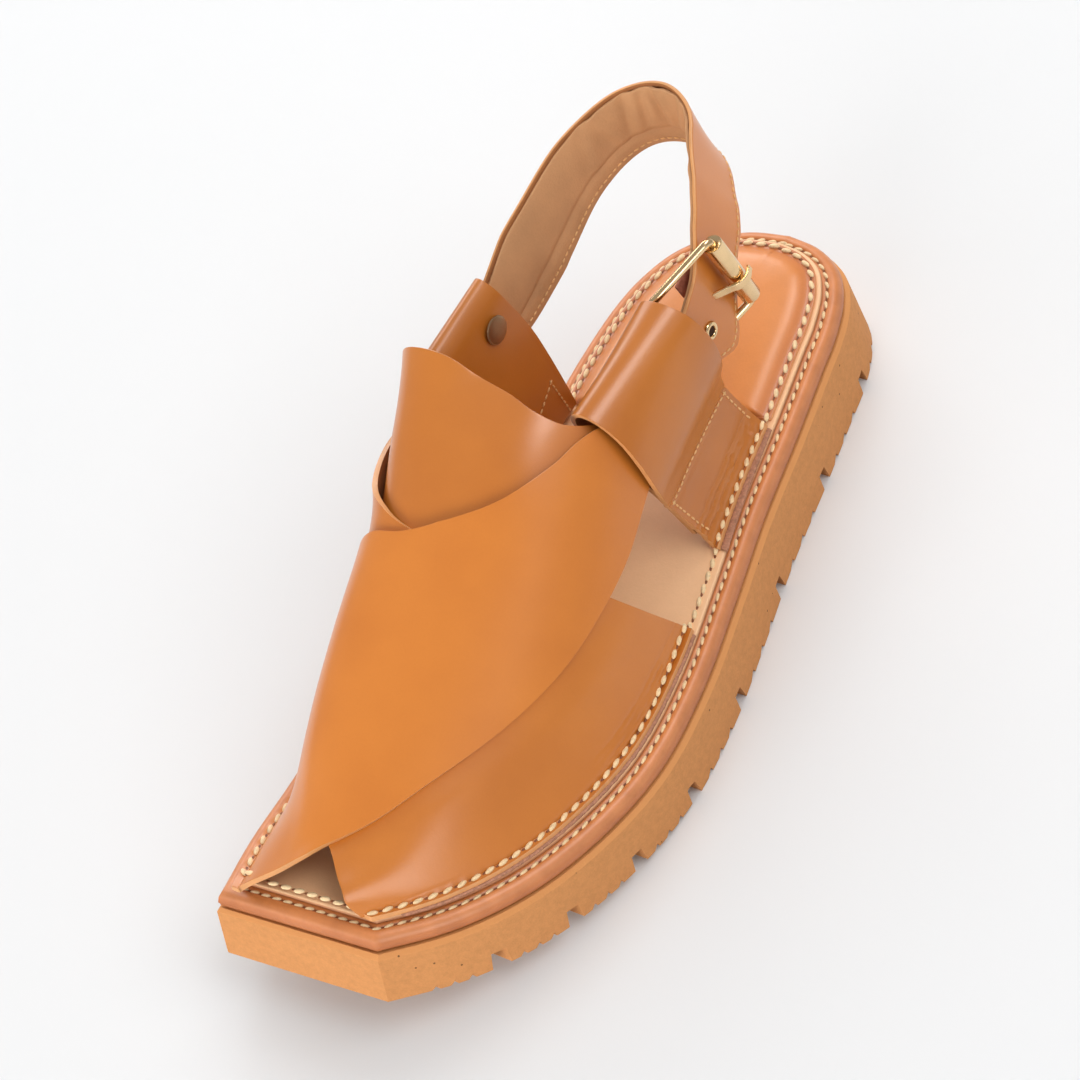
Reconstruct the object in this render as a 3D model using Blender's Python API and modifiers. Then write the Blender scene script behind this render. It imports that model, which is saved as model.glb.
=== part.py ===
"""Kaptan chappal, left shoe: a leather sandal on a thick ripple sole.

Two crossed vamp straps and a tongue run into a folded side loop on either side of the instep.
A padded heel strap is riveted in the inner loop and buckled at the outer one.

Frame: metres, +Z up, toe towards -Y, heel towards +Y, outer side of the foot towards +X.
The origin is on the floor, under the middle of the sole.
Sizes below are in millimetres, and to_metres() turns them into metres when a mesh is made.
"""
import math

import bpy
import bmesh
import numpy as np
from mathutils import Vector

# ------------------------------------------------------------------ driving dimensions, mm
MM = 0.001
GAP = 0.3                    # clearance that touching pieces keep

HEEL_SEAT_HEIGHT = 24.2      # top of the outsole above the floor, at the middle of the shoe
HEEL_PITCH = 0.0313          # rise of the sole's top towards the heel, per mm of length
TOE_SPRING = 21.0            # lift of the sole's top at the toe
SPRING_START = -31.5         # where the sole starts to lift
SPRING_LENGTH = 115.0        # length over which it lifts

OUTSOLE_MARGIN = 1.2         # outsole's edge outside the midsole's edge
OUTSOLE_CHAMFER = 1.3
OUTSOLE_TOE_THICKNESS = 18.8
OUTSOLE_BALL_THICKNESS = 22.4
MIDSOLE_THICKNESS = 6.4
INSOLE_THICKNESS = 1.8
INSOLE_INSET = 6.6
FOOTBED = MIDSOLE_THICKNESS + INSOLE_THICKNESS + GAP

GROOVE_DEPTH = 6.5           # main tread grooves
GROOVE_WIDTH = 4.5
TOOTH_DEPTH = 2.0            # saw teeth between the grooves
TEETH_PER_BLOCK = 4
GROOVES = (-112.0, -90.0, -66.0, -40.0, -6.0, 34.0, 75.0, 112.0)

FRONT_ZONE_END = -120.0      # in front of this the rungs of the sole follow its slanted front edge
HEEL_LAST_ANGLE = 86.0       # last rung round the heel, short of its very back
SMALL_STEP = 0.3             # length of the steep faces of grooves and teeth
NO_TEETH_BEFORE = -132.0

LEATHER = 2.0                # strap leather
BASE_INSET = 10.0            # line where the straps rise, inside the sole's edge
FLANGE = 3.2                 # turned-out foot of a strap, beyond that line

# Sole outline.  Each row: how far along the shoe, the outer edge and the inner edge.
SOLE_STATIONS = (
    # along, outer, inner
    (-119.5, 27.5, -49.6),
    (-98.5, 40.5, -52.0),
    (-72.5, 49.5, -54.0),
    (-45.5, 54.0, -52.8),
    (-15.5, 52.5, -49.4),
    (14.5, 47.0, -46.6),
    (43.5, 41.0, -45.6),
    (73.5, 36.5, -47.0),
)
FRONT_CORNER_OUTER = (11.0, -136.5)
FRONT_CORNER_INNER = (-44.0, -142.0)
HEEL_POINTS = (
    # outer side: across, along; inner side: across, along
    (32.2, 99.0, -45.9, 98.0),
    (30.2, 111.0, -43.2, 110.5),
    (26.2, 123.5, -37.6, 122.6),
    (19.6, 133.2, -28.5, 131.8),
    (9.8, 138.6, -15.5, 138.0),
    (-2.0, 140.4, -2.0, 140.4),
)
HEEL_START = 98.5
HEEL_DEPTH = HEEL_POINTS[-1][1] - HEEL_START

# Middle of the footprint as drawn, which becomes the origin.
DRAWN_CENTRE = (0.07, -2.82, 0.0)

# Heel pad, laid on the insole.
HEEL_PAD_FRONT = 46.0
HEEL_PAD_INSETS = (17.2, 7.0)          # between the loops, then over the heel seat
HEEL_PAD_OUTER_WIDENS = (70.6, 78.0)   # where each side goes from one to the other
HEEL_PAD_INNER_WIDENS = (57.0, 65.0)
HEEL_PAD_CROWN = (
    # in from the border, height
    (0.0, 0.0),
    (0.0, 0.9),
    (3.4, 1.2),
    (5.4, 2.8),
    (8.5, 3.8),
    (13.0, 4.3),
)

# Foot form that the straps are drawn over.  Heights stand on the footbed.
FORM_ROWS = (
    # along, crest across, crest height, inner wall angle, outer wall angle, inner fullness, outer fullness
    (-145, -12, 6, 45, 42, 0.42, 0.60),
    (-118, -12, 12.5, 48, 45, 0.48, 0.60),
    (-90, -16, 28.5, 70, 50, 0.76, 0.60),
    (-60, -16, 42.5, 83, 55, 0.92, 0.60),
    (-30, -14, 55.0, 94, 62, 0.96, 0.60),
    (0, -12, 68, 103, 72, 1.08, 0.60),
    (30, -12, 72, 102, 80, 1.12, 0.65),
    (60, -12, 70, 97, 84, 1.00, 0.65),
    (90, -12, 68, 92, 86, 0.80, 0.65),
)

STRAP_COLUMNS = 9            # points across a vamp strap

# Strap outlines on the form.  Girth runs from 0 at the inner base line to 1 at the outer one.
# Each row: girth and along on the strap's front edge, then on its back edge, then the
# middle of the leather's thickness above the form at either edge.
TOP_STRAP = (
    # front girth, front along, back girth, back along, front lift, back lift
    (0.00, -137.5, 0.00, -46.0, 1.2, 1.2),
    (0.16, -134.5, 0.12, -41.0, 1.3, 2.8),
    (0.31, -130.0, 0.22, -34.0, 1.8, 4.4),
    (0.43, -124.0, 0.32, -29.5, 3.4, 4.8),
    (0.54, -114.0, 0.41, -28.0, 4.4, 4.6),
    (0.63, -102.5, 0.48, -24.0, 4.4, 4.4),
    (0.700, -87.5, 0.54, -17.5, 4.4, 4.4),
    (0.760, -68.5, 0.585, -11.0, 4.4, 4.4),
    (0.802, -47.5, 0.620, -3.5, 4.4, 4.2),
    (0.828, -26.0, 0.650, 5.0, 4.2, 3.8),
    (0.840, -5.0, 0.672, 14.0, 3.8, 3.4),
    (0.834, 12.0, 0.696, 21.0, 3.1, 3.1),
    (0.822, 26.0, 0.730, 27.0, 2.9, 2.9),
)
UNDER_STRAP = (
    # front girth, front along, back girth, back along, front lift, back lift
    (1.00, -129.5, 1.00, -3.0, 1.2, 1.2),
    (0.88, -129.5, 0.93, -9.5, 2.2, 2.4),
    (0.74, -127.5, 0.86, -14.5, 3.0, 3.2),
    (0.60, -123.0, 0.76, -20.0, 3.3, 3.3),
    (0.48, -112.5, 0.65, -25.0, 3.3, 3.3),
    (0.37, -94.0, 0.54, -27.5, 3.3, 3.3),
    (0.25, -68.0, 0.44, -26.5, 3.3, 3.3),
    (0.16, -40.0, 0.34, -22.5, 3.3, 4.6),
    (0.10, -14.0, 0.235, -13.0, 3.6, 6.2),
    (0.07, 6.0, 0.165, 6.0, 4.4, 7.4),
    (0.05, 27.0, 0.13, 27.0, 5.2, 9.4),
)
TONGUE = (
    # front girth, front along, back girth, back along, front lift, back lift
    (0.07, 20.0, 0.13, 25.0, 2.6, 6.4),
    (0.09, 4.0, 0.19, 22.0, 1.8, 9.8),
    (0.13, -12.0, 0.275, 21.0, 1.2, 11.0),
    (0.20, -28.0, 0.37, 21.0, 1.0, 6.8),
    (0.32, -41.0, 0.44, 19.5, 1.0, 2.4),
    (0.46, -46.0, 0.51, 17.8, 1.0, 1.0),
    (0.60, -42.0, 0.57, 15.5, 1.0, 1.0),
    (0.74, -26.0, 0.63, 16.0, 1.0, 1.0),
    (0.82, -2.0, 0.68, 20.5, 0.8, 0.8),
    (0.82, 26.0, 0.72, 27.0, 0.6, 0.6),
)

# Side loops: a strip that rises from the sole, folds over at the top and comes back down
# inside.  Each row: middle of the leather at the strip's front edge, then at its back edge.
OUTER_LOOP = (
    # front across, front along, front height, back across, back along, back height
    (32.4, 25.0, 41.0, 23.6, 70.0, 41.5),
    (29.4, 22.6, 53.0, 21.8, 67.6, 54.0),
    (30.2, 19.6, 64.0, 22.9, 66.3, 64.0),
    (31.2, 18.0, 74.0, 26.6, 65.7, 73.0),
    (28.8, 18.6, 84.0, 28.3, 65.2, 82.0),
    (24.6, 19.6, 92.0, 28.2, 64.3, 91.0),
    (19.2, 20.0, 97.8, 25.8, 63.2, 98.8),
    (13.4, 20.2, 100.0, 20.6, 62.4, 102.6),
    (9.4, 20.4, 98.0, 14.6, 62.2, 103.0),
    (8.2, 20.6, 93.0, 10.0, 62.2, 100.2),
    (10.4, 21.0, 86.0, 8.8, 62.8, 92.0),
    (15.4, 21.5, 78.5, 8.9, 63.4, 81.0),
    (20.5, 22.0, 69.5, 10.8, 64.4, 70.0),
    (24.4, 23.0, 60.5, 16.0, 65.4, 60.5),
    (27.0, 24.4, 49.0, 20.2, 67.6, 49.5),
    (29.6, 25.4, 39.0, 22.0, 70.5, 39.5),
)
INNER_LOOP = (
    # front across, front along, front height, back across, back along, back height
    (-37.4, 25.0, 41.0, -37.0, 56.5, 41.0),
    (-39.4, 25.0, 52.0, -39.0, 56.0, 52.0),
    (-42.0, 24.5, 66.0, -41.6, 55.5, 66.0),
    (-44.0, 24.2, 80.0, -44.4, 55.0, 80.0),
    (-45.8, 24.0, 92.0, -46.2, 54.0, 91.5),
    (-46.0, 24.0, 100.0, -45.8, 53.0, 99.6),
    (-43.0, 24.0, 104.0, -42.8, 52.4, 104.2),
    (-39.2, 24.2, 101.4, -38.8, 52.4, 101.2),
    (-37.0, 24.6, 93.0, -36.4, 53.4, 92.5),
    (-35.2, 25.0, 80.0, -34.4, 54.6, 80.0),
    (-34.0, 25.5, 66.0, -33.4, 55.0, 66.0),
    (-33.8, 26.0, 52.0, -33.2, 55.4, 52.0),
    (-34.0, 26.0, 40.0, -33.6, 56.0, 40.0),
)

# Heel strap.  Each row: middle of the band, how far its upper edge leans across, its width.
HEEL_STRAP_THICKNESS = 3.0
HEEL_STRAP = (
    # across, along, height, lean, width
    (-41.0, 37.0, 88.0, -1.2, 22.0),
    (-39.8, 54.0, 88.6, -2.0, 26.0),
    (-36.9, 78.0, 97.7, -3.8, 27.8),
    (-32.5, 101.0, 106.0, -2.5, 26.8),
    (-23.0, 118.2, 110.0, -1.0, 26.6),
    (-10.5, 123.4, 111.3, 0.0, 26.6),
    (1.5, 119.0, 110.0, -1.5, 27.0),
    (11.2, 106.0, 105.0, -3.2, 28.0),
    (15.4, 98.0, 100.6, -3.2, 28.2),
    (17.6, 90.5, 95.4, -1.4, 27.4),
    (20.2, 80.0, 87.8, -0.9, 27.4),
    (21.1, 68.0, 82.2, -0.8, 26.8),
    (20.8, 54.0, 79.0, -1.0, 22.0),
)

# Buckle: an oblong wire frame, a loose roller on its rear bar, a prong on its front bar.
ROLLER_TOP = (23.6, 85.4, 106.2)
ROLLER_BOTTOM = (25.4, 89.6, 76.7)
FRAME_FORWARD = (-11.4, -22.9, -8.5)     # from the rear bar to the front bar
FRAME_OVERHANG = 2.2                     # side bars beyond the roller's ends
FRAME_CORNER = 2.6
WIRE_RADIUS = 1.2
ROLLER_RADIUS = 3.2
ROLLER_BORE = 2.2
PRONG = (
    # across, along, height
    (12.9, 62.6, 83.0),
    (11.1, 63.6, 83.1),
    (11.2, 65.8, 83.2),
    (13.0, 66.7, 83.4),
    (15.4, 68.0, 83.8),
    (16.9, 72.0, 85.2),
    (18.0, 76.1, 86.5),
    (22.2, 79.6, 87.7),
    (25.4, 82.7, 88.2),
    (27.9, 85.0, 88.3),
    (29.1, 88.0, 88.8),
    (28.6, 91.0, 90.2),
)
PRONG_WIDTH = 2.6
PRONG_THICKNESS = 1.1
CHAPE = (
    # across, along, height
    (15.2, 50.0, 83.0),
    (15.0, 58.0, 83.0),
    (15.4, 62.0, 83.0),
    (15.3, 65.6, 83.0),
    (13.2, 66.9, 83.0),
    (11.0, 65.4, 83.0),
    (11.2, 62.4, 83.0),
    (13.1, 58.0, 83.0),
    (13.4, 50.0, 83.0),
)
CHAPE_WIDTH = 14.0
CHAPE_THICKNESS = 1.4
EYELET_ALONG = 70.1
EYELET_RADIUS = 3.1
EYELET_BORE = 1.6
RIVET = (-36.0, 43.4, 93.6)
RIVET_RADIUS = 4.6
RIVET_DEPTH = 11.6           # from the head's seat to the washer outside the loop
SHANK_RADIUS = 1.5
TURNED_SIDES = 32


# ------------------------------------------------------------------ small helpers
def clear_scene():
    for thing in list(bpy.data.objects):
        bpy.data.objects.remove(thing, do_unlink=True)


def new_collection(name):
    collection = bpy.data.collections.new(name)
    bpy.context.scene.collection.children.link(collection)
    return collection


def principled(name, colour, rough, metal=0.0):
    material = bpy.data.materials.new(name)
    material.use_nodes = True
    shader = material.node_tree.nodes["Principled BSDF"]
    shader.inputs["Base Color"].default_value = (*colour, 1.0)
    shader.inputs["Roughness"].default_value = rough
    shader.inputs["Metallic"].default_value = metal
    return material


def hermite(knots, values, slopes, at):
    """Cubic through values at knots, with given slopes, read at each place in `at`."""
    index = np.clip(np.searchsorted(knots, at, side="right") - 1, 0, len(knots) - 2)
    span = knots[index + 1] - knots[index]
    s = ((at - knots[index]) / span)[:, None]
    span = span[:, None]
    return (
        (2 * s**3 - 3 * s**2 + 1) * values[index]
        + (s**3 - 2 * s**2 + s) * span * slopes[index]
        + (3 * s**2 - 2 * s**3) * values[index + 1]
        + (s**3 - s**2) * span * slopes[index + 1]
    )


def curve_slopes(knots, values):
    """Slope at each knot of a smooth curve through the values."""
    steps = np.diff(values, axis=0) / np.diff(knots)[:, None]
    slopes = np.empty_like(values)
    slopes[0] = steps[0]
    slopes[-1] = steps[-1]
    before = np.diff(knots)[:-1, None]
    after = np.diff(knots)[1:, None]
    slopes[1:-1] = (steps[:-1] * after + steps[1:] * before) / (before + after)
    return slopes


def smooth_rows(rows, count):
    """Rows of a table resampled along a smooth curve, count rows evenly spread over its knots."""
    values = np.array(rows, float)
    knots = np.arange(len(values), dtype=float)
    places = np.linspace(0, knots[-1], count)
    return hermite(knots, values, curve_slopes(knots, values), places)


def smooth_path(points, count):
    """Points along a smooth curve through the given points, count of them."""
    values = np.array(points, float)
    chords = np.linalg.norm(np.diff(values, axis=0), axis=1)
    knots = np.concatenate(([0.0], np.cumsum(np.sqrt(chords))))
    places = np.linspace(0, knots[-1], count)
    return hermite(knots, values, curve_slopes(knots, values), places)


# ------------------------------------------------------------------ sole surfaces
def sole_top(along):
    """Height of the outsole's top at each place along the shoe."""
    lift = np.clip(SPRING_START - along, 0, None) / SPRING_LENGTH
    return HEEL_SEAT_HEIGHT + HEEL_PITCH * along + TOE_SPRING * lift**2


def sole_slope(along):
    lift = np.clip(SPRING_START - along, 0, None) / SPRING_LENGTH
    return HEEL_PITCH - 2 * TOE_SPRING * lift / SPRING_LENGTH


def on_sole(across, along, lift):
    """Point at `lift` above the outsole's top, measured square to it."""
    slope = sole_slope(along)
    square = 1 / np.sqrt(1 + slope**2)
    back = along - lift * slope * square
    height = sole_top(along) + lift * square
    return np.stack([across + 0 * along, back, height], axis=-1)


def footbed_height(along, clearance=0.0):
    """Height straight above each place of a surface that lies `clearance` off the insole."""
    return sole_top(along) + (FOOTBED + clearance) * np.sqrt(1 + sole_slope(along)**2)


def edge_curve(side, count=600):
    """Sole's edge on one side (+1 outer, -1 inner), front corner to heel back, with inward normals."""
    corner = FRONT_CORNER_OUTER if side > 0 else FRONT_CORNER_INNER
    column = 1 if side > 0 else 2
    points = [corner] + [(row[column], row[0]) for row in SOLE_STATIONS]
    points += [row[:2] if side > 0 else row[2:] for row in HEEL_POINTS]
    curve = smooth_path(points, count)
    tangent = np.gradient(curve, axis=0)
    inward = np.stack([-tangent[:, 1], tangent[:, 0]], axis=1) * side
    inward /= np.linalg.norm(inward, axis=1)[:, None]
    return curve, inward


def front_line(inset):
    """A point on the front edge line, moved in by inset, and the line's inward normal."""
    outer = np.array(FRONT_CORNER_OUTER)
    inner = np.array(FRONT_CORNER_INNER)
    along = (outer - inner) / np.linalg.norm(outer - inner)
    inward = np.array([-along[1], along[0]])
    return outer + inward * inset, inward


def edge_with_inset(side, inset, places):
    """Edge points moved in by inset, at places from 0 (front corner) to 1 (heel back)."""
    curve, inward = edge_curve(side)
    moved = curve + inward * inset
    point, normal = front_line(inset)
    inside = (moved - point) @ normal >= -1e-9
    moved = moved[np.argmax(inside):]
    lengths = np.concatenate(([0.0], np.cumsum(np.linalg.norm(np.diff(moved, axis=0), axis=1))))
    wanted = np.asarray(places) * lengths[-1]
    return np.stack([np.interp(wanted, lengths, moved[:, axis]) for axis in (0, 1)], axis=1)


def base_line(side, along, inset=BASE_INSET):
    """Across position of the line `inset` inside the sole's edge, at each place along."""
    curve, inward = edge_curve(side)
    moved = curve + inward * inset
    order = np.argsort(moved[:, 1])
    return np.interp(along, moved[order, 1], moved[order, 0])


# ------------------------------------------------------------------ foot form
def form_row(along):
    rows = np.array(FORM_ROWS, float)
    knots = rows[:, 0]
    places = np.clip(np.atleast_1d(along), knots[0], knots[-1])
    return hermite(knots, rows, curve_slopes(knots, rows), places)


def form_point(girth, along):
    """Point on the foot form.  Each side is one cubic from the base line up to the crest."""
    girth, along = np.broadcast_arrays(np.asarray(girth, float), np.asarray(along, float))
    shape = girth.shape
    girth = girth.ravel()
    along = along.ravel()
    row = form_row(along)
    inner = girth < 0.5
    t = np.where(inner, girth * 2, (1 - girth) * 2)[:, None]
    foot = np.where(inner, base_line(-1, along), base_line(1, along))
    angle = np.radians(np.where(inner, row[:, 3], row[:, 4]))
    fullness = np.where(inner, row[:, 5], row[:, 6])
    towards = np.where(inner, 1.0, -1.0)
    crest = row[:, 1]
    height = row[:, 2]
    reach = fullness * height / np.maximum(np.sin(angle), 0.5)
    p0 = np.stack([foot, 0 * height], axis=1)
    p1 = p0 + np.stack([towards * np.cos(angle) * reach, np.sin(angle) * reach], axis=1)
    p3 = np.stack([crest, height], axis=1)
    p2 = p3 - np.stack([towards * np.abs(crest - foot) * fullness, 0 * height], axis=1)
    section = (1 - t)**3 * p0 + 3 * (1 - t)**2 * t * p1 + 3 * (1 - t) * t**2 * p2 + t**3 * p3
    floor = footbed_height(along)
    return np.stack([section[:, 0], along, floor + section[:, 1]], axis=1).reshape(shape + (3,))


def form_normal(girth, along, girth_step=0.004, along_step=1.0):
    around = form_point(np.clip(girth + girth_step, 0, 1), along)
    around = around - form_point(np.clip(girth - girth_step, 0, 1), along)
    lengthways = form_point(girth, along + along_step) - form_point(girth, along - along_step)
    normal = np.cross(around, lengthways)
    return normal / np.linalg.norm(normal, axis=-1, keepdims=True)


def above_form(girth, along, lift):
    return form_point(girth, along) + form_normal(girth, along) * np.asarray(lift)[..., None]


# ------------------------------------------------------------------ mesh makers
def to_metres(points):
    """Points of the drawing, in mm, as places in the part's own frame."""
    centred = (np.array(points, float) - np.array(DRAWN_CENTRE)) * MM
    return [tuple(point) for point in centred.tolist()]


def mesh_object(name, points, faces, material, collection):
    mesh = bpy.data.meshes.new(name)
    mesh.from_pydata(to_metres(points), [], faces)
    mesh.update()
    thing = bpy.data.objects.new(name, mesh)
    thing.data.materials.append(material)
    collection.objects.link(thing)
    return thing


def loop_faces(first, second):
    """Quads between two loops of vertex numbers."""
    count = len(first)
    following = [(i + 1) % count for i in range(count)]
    return [(first[i], first[j], second[j], second[i]) for i, j in enumerate(following)]


def layered_solid(name, layers, material, collection):
    """Closed solid from flat-lying layers, bottom to top.

    Each layer is (outer edge points, inner edge points), both running front to back.
    """
    count = len(layers[0][0])
    points = []
    loops = []
    for outer, inner in layers:
        start = len(points)
        points.extend(outer)
        points.extend(inner[::-1])
        loops.append(list(range(start, start + 2 * count)))
    faces = []
    for lower, upper in zip(loops[:-1], loops[1:]):
        faces.extend(loop_faces(lower, upper))
    for loop, flip in ((loops[0], True), (loops[-1], False)):
        for i in range(count - 1):
            quad = (loop[i], loop[i + 1], loop[-2 - i], loop[-1 - i])
            faces.append(quad[::-1] if flip else quad)
    return mesh_object(name, points, faces, material, collection)


def sheet(name, grid, thickness, material, collection):
    """Open surface from a grid of points, given an even thickness either side."""
    rows, columns = grid.shape[:2]
    faces = []
    for i in range(rows - 1):
        for j in range(columns - 1):
            corner = i * columns + j
            faces.append((corner, corner + 1, corner + columns + 1, corner + columns))
    thing = mesh_object(name, grid.reshape(-1, 3), faces, material, collection)
    shell = thing.modifiers.new("Leather", "SOLIDIFY")
    shell.thickness = thickness * MM
    shell.offset = 0
    shell.use_even_offset = True
    return thing


def tube(name, points, radius, material, collection, closed=False):
    """Round wire through the given points, as a mesh."""
    data = bpy.data.curves.new(name, "CURVE")
    data.dimensions = "3D"
    data.bevel_depth = radius * MM
    data.bevel_resolution = 2
    data.use_fill_caps = not closed
    line = data.splines.new("POLY")
    line.points.add(len(points) - 1)
    for target, point in zip(line.points, to_metres(points)):
        target.co = (*point, 1.0)
    line.use_cyclic_u = closed
    guide = bpy.data.objects.new(name + "_line", data)
    collection.objects.link(guide)
    bpy.context.view_layer.update()
    evaluated = guide.evaluated_get(bpy.context.evaluated_depsgraph_get())
    mesh = bpy.data.meshes.new_from_object(evaluated)
    mesh.name = name
    bpy.data.objects.remove(guide, do_unlink=True)
    shape = bmesh.new()
    shape.from_mesh(mesh)
    bmesh.ops.remove_doubles(shape, verts=shape.verts, dist=0.00001)
    bmesh.ops.recalc_face_normals(shape, faces=shape.faces)
    shape.to_mesh(mesh)
    shape.free()
    thing = bpy.data.objects.new(name, mesh)
    thing.data.materials.clear()
    thing.data.materials.append(material)
    collection.objects.link(thing)
    return thing


def cylinder_between(name, start, end, radius, material, collection, sides=24):
    """Cylinder primitive laid from start to end."""
    start = Vector(start)
    end = Vector(end)
    bpy.ops.mesh.primitive_cylinder_add(vertices=sides, radius=radius * MM, depth=(end - start).length * MM)
    thing = bpy.context.active_object
    thing.name = name
    thing.data.name = name
    thing.rotation_mode = "QUATERNION"
    thing.rotation_quaternion = Vector((0, 0, 1)).rotation_difference(end - start)
    thing.location = to_metres([(start + end) / 2])[0]
    for holder in list(thing.users_collection):
        holder.objects.unlink(thing)
    collection.objects.link(thing)
    thing.data.materials.append(material)
    return thing


def as_cutter(thing):
    thing.hide_render = True
    thing.display_type = "WIRE"
    return thing


def boolean(target, other, operation):
    change = target.modifiers.new(operation.title(), "BOOLEAN")
    change.operation = operation
    change.solver = "EXACT"
    change.object = other
    return change


# ------------------------------------------------------------------ sole pieces
def edge_reader(side, inset):
    """Inset edge of the sole as rising along values with their across values."""
    points = edge_with_inset(side, inset, np.linspace(0, 1, 400))
    order = np.maximum.accumulate(points[:, 1])
    return order, points[:, 0]


def rung_point(side, inset, along, reader):
    """Edge point that belongs to the rung whose nominal place is `along`."""
    alongs, across = reader
    front = alongs[0]
    nominal_front = (FRONT_CORNER_OUTER[1] + FRONT_CORNER_INNER[1]) / 2
    if along < FRONT_ZONE_END:
        share = (along - nominal_front) / (FRONT_ZONE_END - nominal_front)
        place = front + (FRONT_ZONE_END - front) * max(share, 0.0)
    elif along > HEEL_START:
        place = HEEL_START + (along - HEEL_START) * (HEEL_DEPTH - inset) / HEEL_DEPTH
    else:
        place = along
    return float(np.interp(place, alongs, across)), place


def sole_layer(inset, rungs, lift_of):
    """Outer and inner edge points of one layer; lift_of(along) is its height above the sole top."""
    sides = []
    for side in (1, -1):
        reader = edge_reader(side, inset)
        row = [rung_point(side, inset, along, reader) for along in rungs]
        across = np.array([point[0] for point in row])
        along = np.array([point[1] for point in row])
        sides.append(on_sole(across, along, lift_of(np.array(rungs))))
    return sides


def plain_rungs(step=8.0):
    """Nominal places of a smooth layer's rungs, closer together round the heel."""
    front = (FRONT_CORNER_OUTER[1] + FRONT_CORNER_INNER[1]) / 2
    rungs = [front, front + 4, front + 10]
    rungs += list(np.arange(FRONT_ZONE_END, HEEL_START, step))
    for angle in np.linspace(0, HEEL_LAST_ANGLE, 13):
        rungs.append(HEEL_START + HEEL_DEPTH * math.sin(math.radians(angle)))
    return sorted(rungs)


def flat_lift(value):
    return lambda along: np.full(len(along), float(value))


def outsole_thickness(along):
    """Thickness square to the sole's top: it stands on the floor up to the ball, then thins."""
    square = 1 / np.sqrt(1 + sole_slope(along)**2)
    standing = sole_top(along) / square
    front = (FRONT_CORNER_OUTER[1] + FRONT_CORNER_INNER[1]) / 2
    ball = GROOVES[3]
    share = np.clip((ball - along) / (ball - front), 0, 1)
    rising = OUTSOLE_BALL_THICKNESS + (OUTSOLE_TOE_THICKNESS - OUTSOLE_BALL_THICKNESS) * share
    return np.where(along > ball, standing, np.minimum(standing, rising))


def tread_profile():
    """Cut depth of the tread at each rung: grooves, with saw teeth in the blocks between."""
    front = (FRONT_CORNER_OUTER[1] + FRONT_CORNER_INNER[1]) / 2
    back = HEEL_START + HEEL_DEPTH * math.sin(math.radians(HEEL_LAST_ANGLE))
    half = GROOVE_WIDTH / 2
    profile = [(front, 0.0), (front + 3, 0.0)]
    starts = [NO_TEETH_BEFORE] + [groove + half for groove in GROOVES]
    ends = [groove - half for groove in GROOVES] + [back - 1]
    for number, (start, end) in enumerate(zip(starts, ends)):
        pitch = (end - start) / TEETH_PER_BLOCK
        for tooth in range(TEETH_PER_BLOCK):
            tip = start + tooth * pitch
            profile.append((tip + SMALL_STEP, 0.0))
            profile.append((tip + 0.6 * pitch, 0.0))
            if tooth < TEETH_PER_BLOCK - 1:
                profile.append((tip + pitch - SMALL_STEP, TOOTH_DEPTH))
            else:
                profile.append((tip + pitch - SMALL_STEP, 0.0))
        if number < len(GROOVES):
            profile.append((end + SMALL_STEP, GROOVE_DEPTH))
            profile.append((end + GROOVE_WIDTH - SMALL_STEP, GROOVE_DEPTH))
    profile.append((back, 0.0))
    return profile


def make_outsole(collection):
    foam = principled("tan foam", (0.56, 0.33, 0.15), 0.85)
    profile = tread_profile()
    rungs = [along for along, _ in profile]
    cut = np.array([depth for _, depth in profile])
    edge = -OUTSOLE_MARGIN
    layers = [
        sole_layer(edge, rungs, lambda along: cut - outsole_thickness(along)),
        sole_layer(edge, rungs, flat_lift(-OUTSOLE_CHAMFER)),
        sole_layer(edge + OUTSOLE_CHAMFER, rungs, flat_lift(0)),
    ]
    return layered_solid("outsole", layers, foam, collection)


def make_midsole(collection):
    edge_leather = principled("burnished leather", (0.42, 0.19, 0.10), 0.4)
    top = MIDSOLE_THICKNESS
    rounding = ((1.3, GAP), (0.3, 1.2), (0.0, 2.6), (0.1, 4.0), (0.8, 5.4), (1.8, 6.1), (3.0, top))
    rungs = plain_rungs()
    layers = [sole_layer(inset, rungs, flat_lift(lift)) for inset, lift in rounding]
    return layered_solid("midsole", layers, edge_leather, collection)


def make_insole(collection):
    natural = principled("natural leather", (0.72, 0.46, 0.29), 0.6)
    bottom = MIDSOLE_THICKNESS + GAP
    top = bottom + INSOLE_THICKNESS
    rungs = plain_rungs()
    rounding = ((INSOLE_INSET, bottom), (INSOLE_INSET, top - 0.4), (INSOLE_INSET + 0.5, top))
    layers = [sole_layer(inset, rungs, flat_lift(lift)) for inset, lift in rounding]
    return layered_solid("insole", layers, natural, collection)


def heel_pad_layer(inwards, height):
    """One layer of the heel pad, `inwards` from its own border."""
    sides = []
    places = np.linspace(0, 1, 30)
    back = HEEL_START + HEEL_DEPTH - HEEL_PAD_INSETS[1] - inwards
    centre = HEEL_START
    front = HEEL_PAD_FRONT + inwards
    straight = front + (centre - front) * np.clip(places / 0.6, 0, 1)
    turn = np.radians(HEEL_LAST_ANGLE) * np.clip((places - 0.6) / 0.4, 0, 1)
    along = np.where(places <= 0.6, straight, centre + (back - centre) * np.sin(turn))
    for side in (1, -1):
        start, end = HEEL_PAD_OUTER_WIDENS if side > 0 else HEEL_PAD_INNER_WIDENS
        share = np.clip((along - start) / (end - start), 0, 1)
        share = share * share * (3 - 2 * share)
        inset = HEEL_PAD_INSETS[0] + (HEEL_PAD_INSETS[1] - HEEL_PAD_INSETS[0]) * share + inwards
        across = np.empty(len(along))
        for i, (place, depth) in enumerate(zip(along, inset)):
            alongs, values = edge_reader(side, depth)
            across[i] = np.interp(place, alongs, values)
        sides.append(on_sole(across, along, np.full(len(along), FOOTBED + GAP + height)))
    return sides


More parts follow.
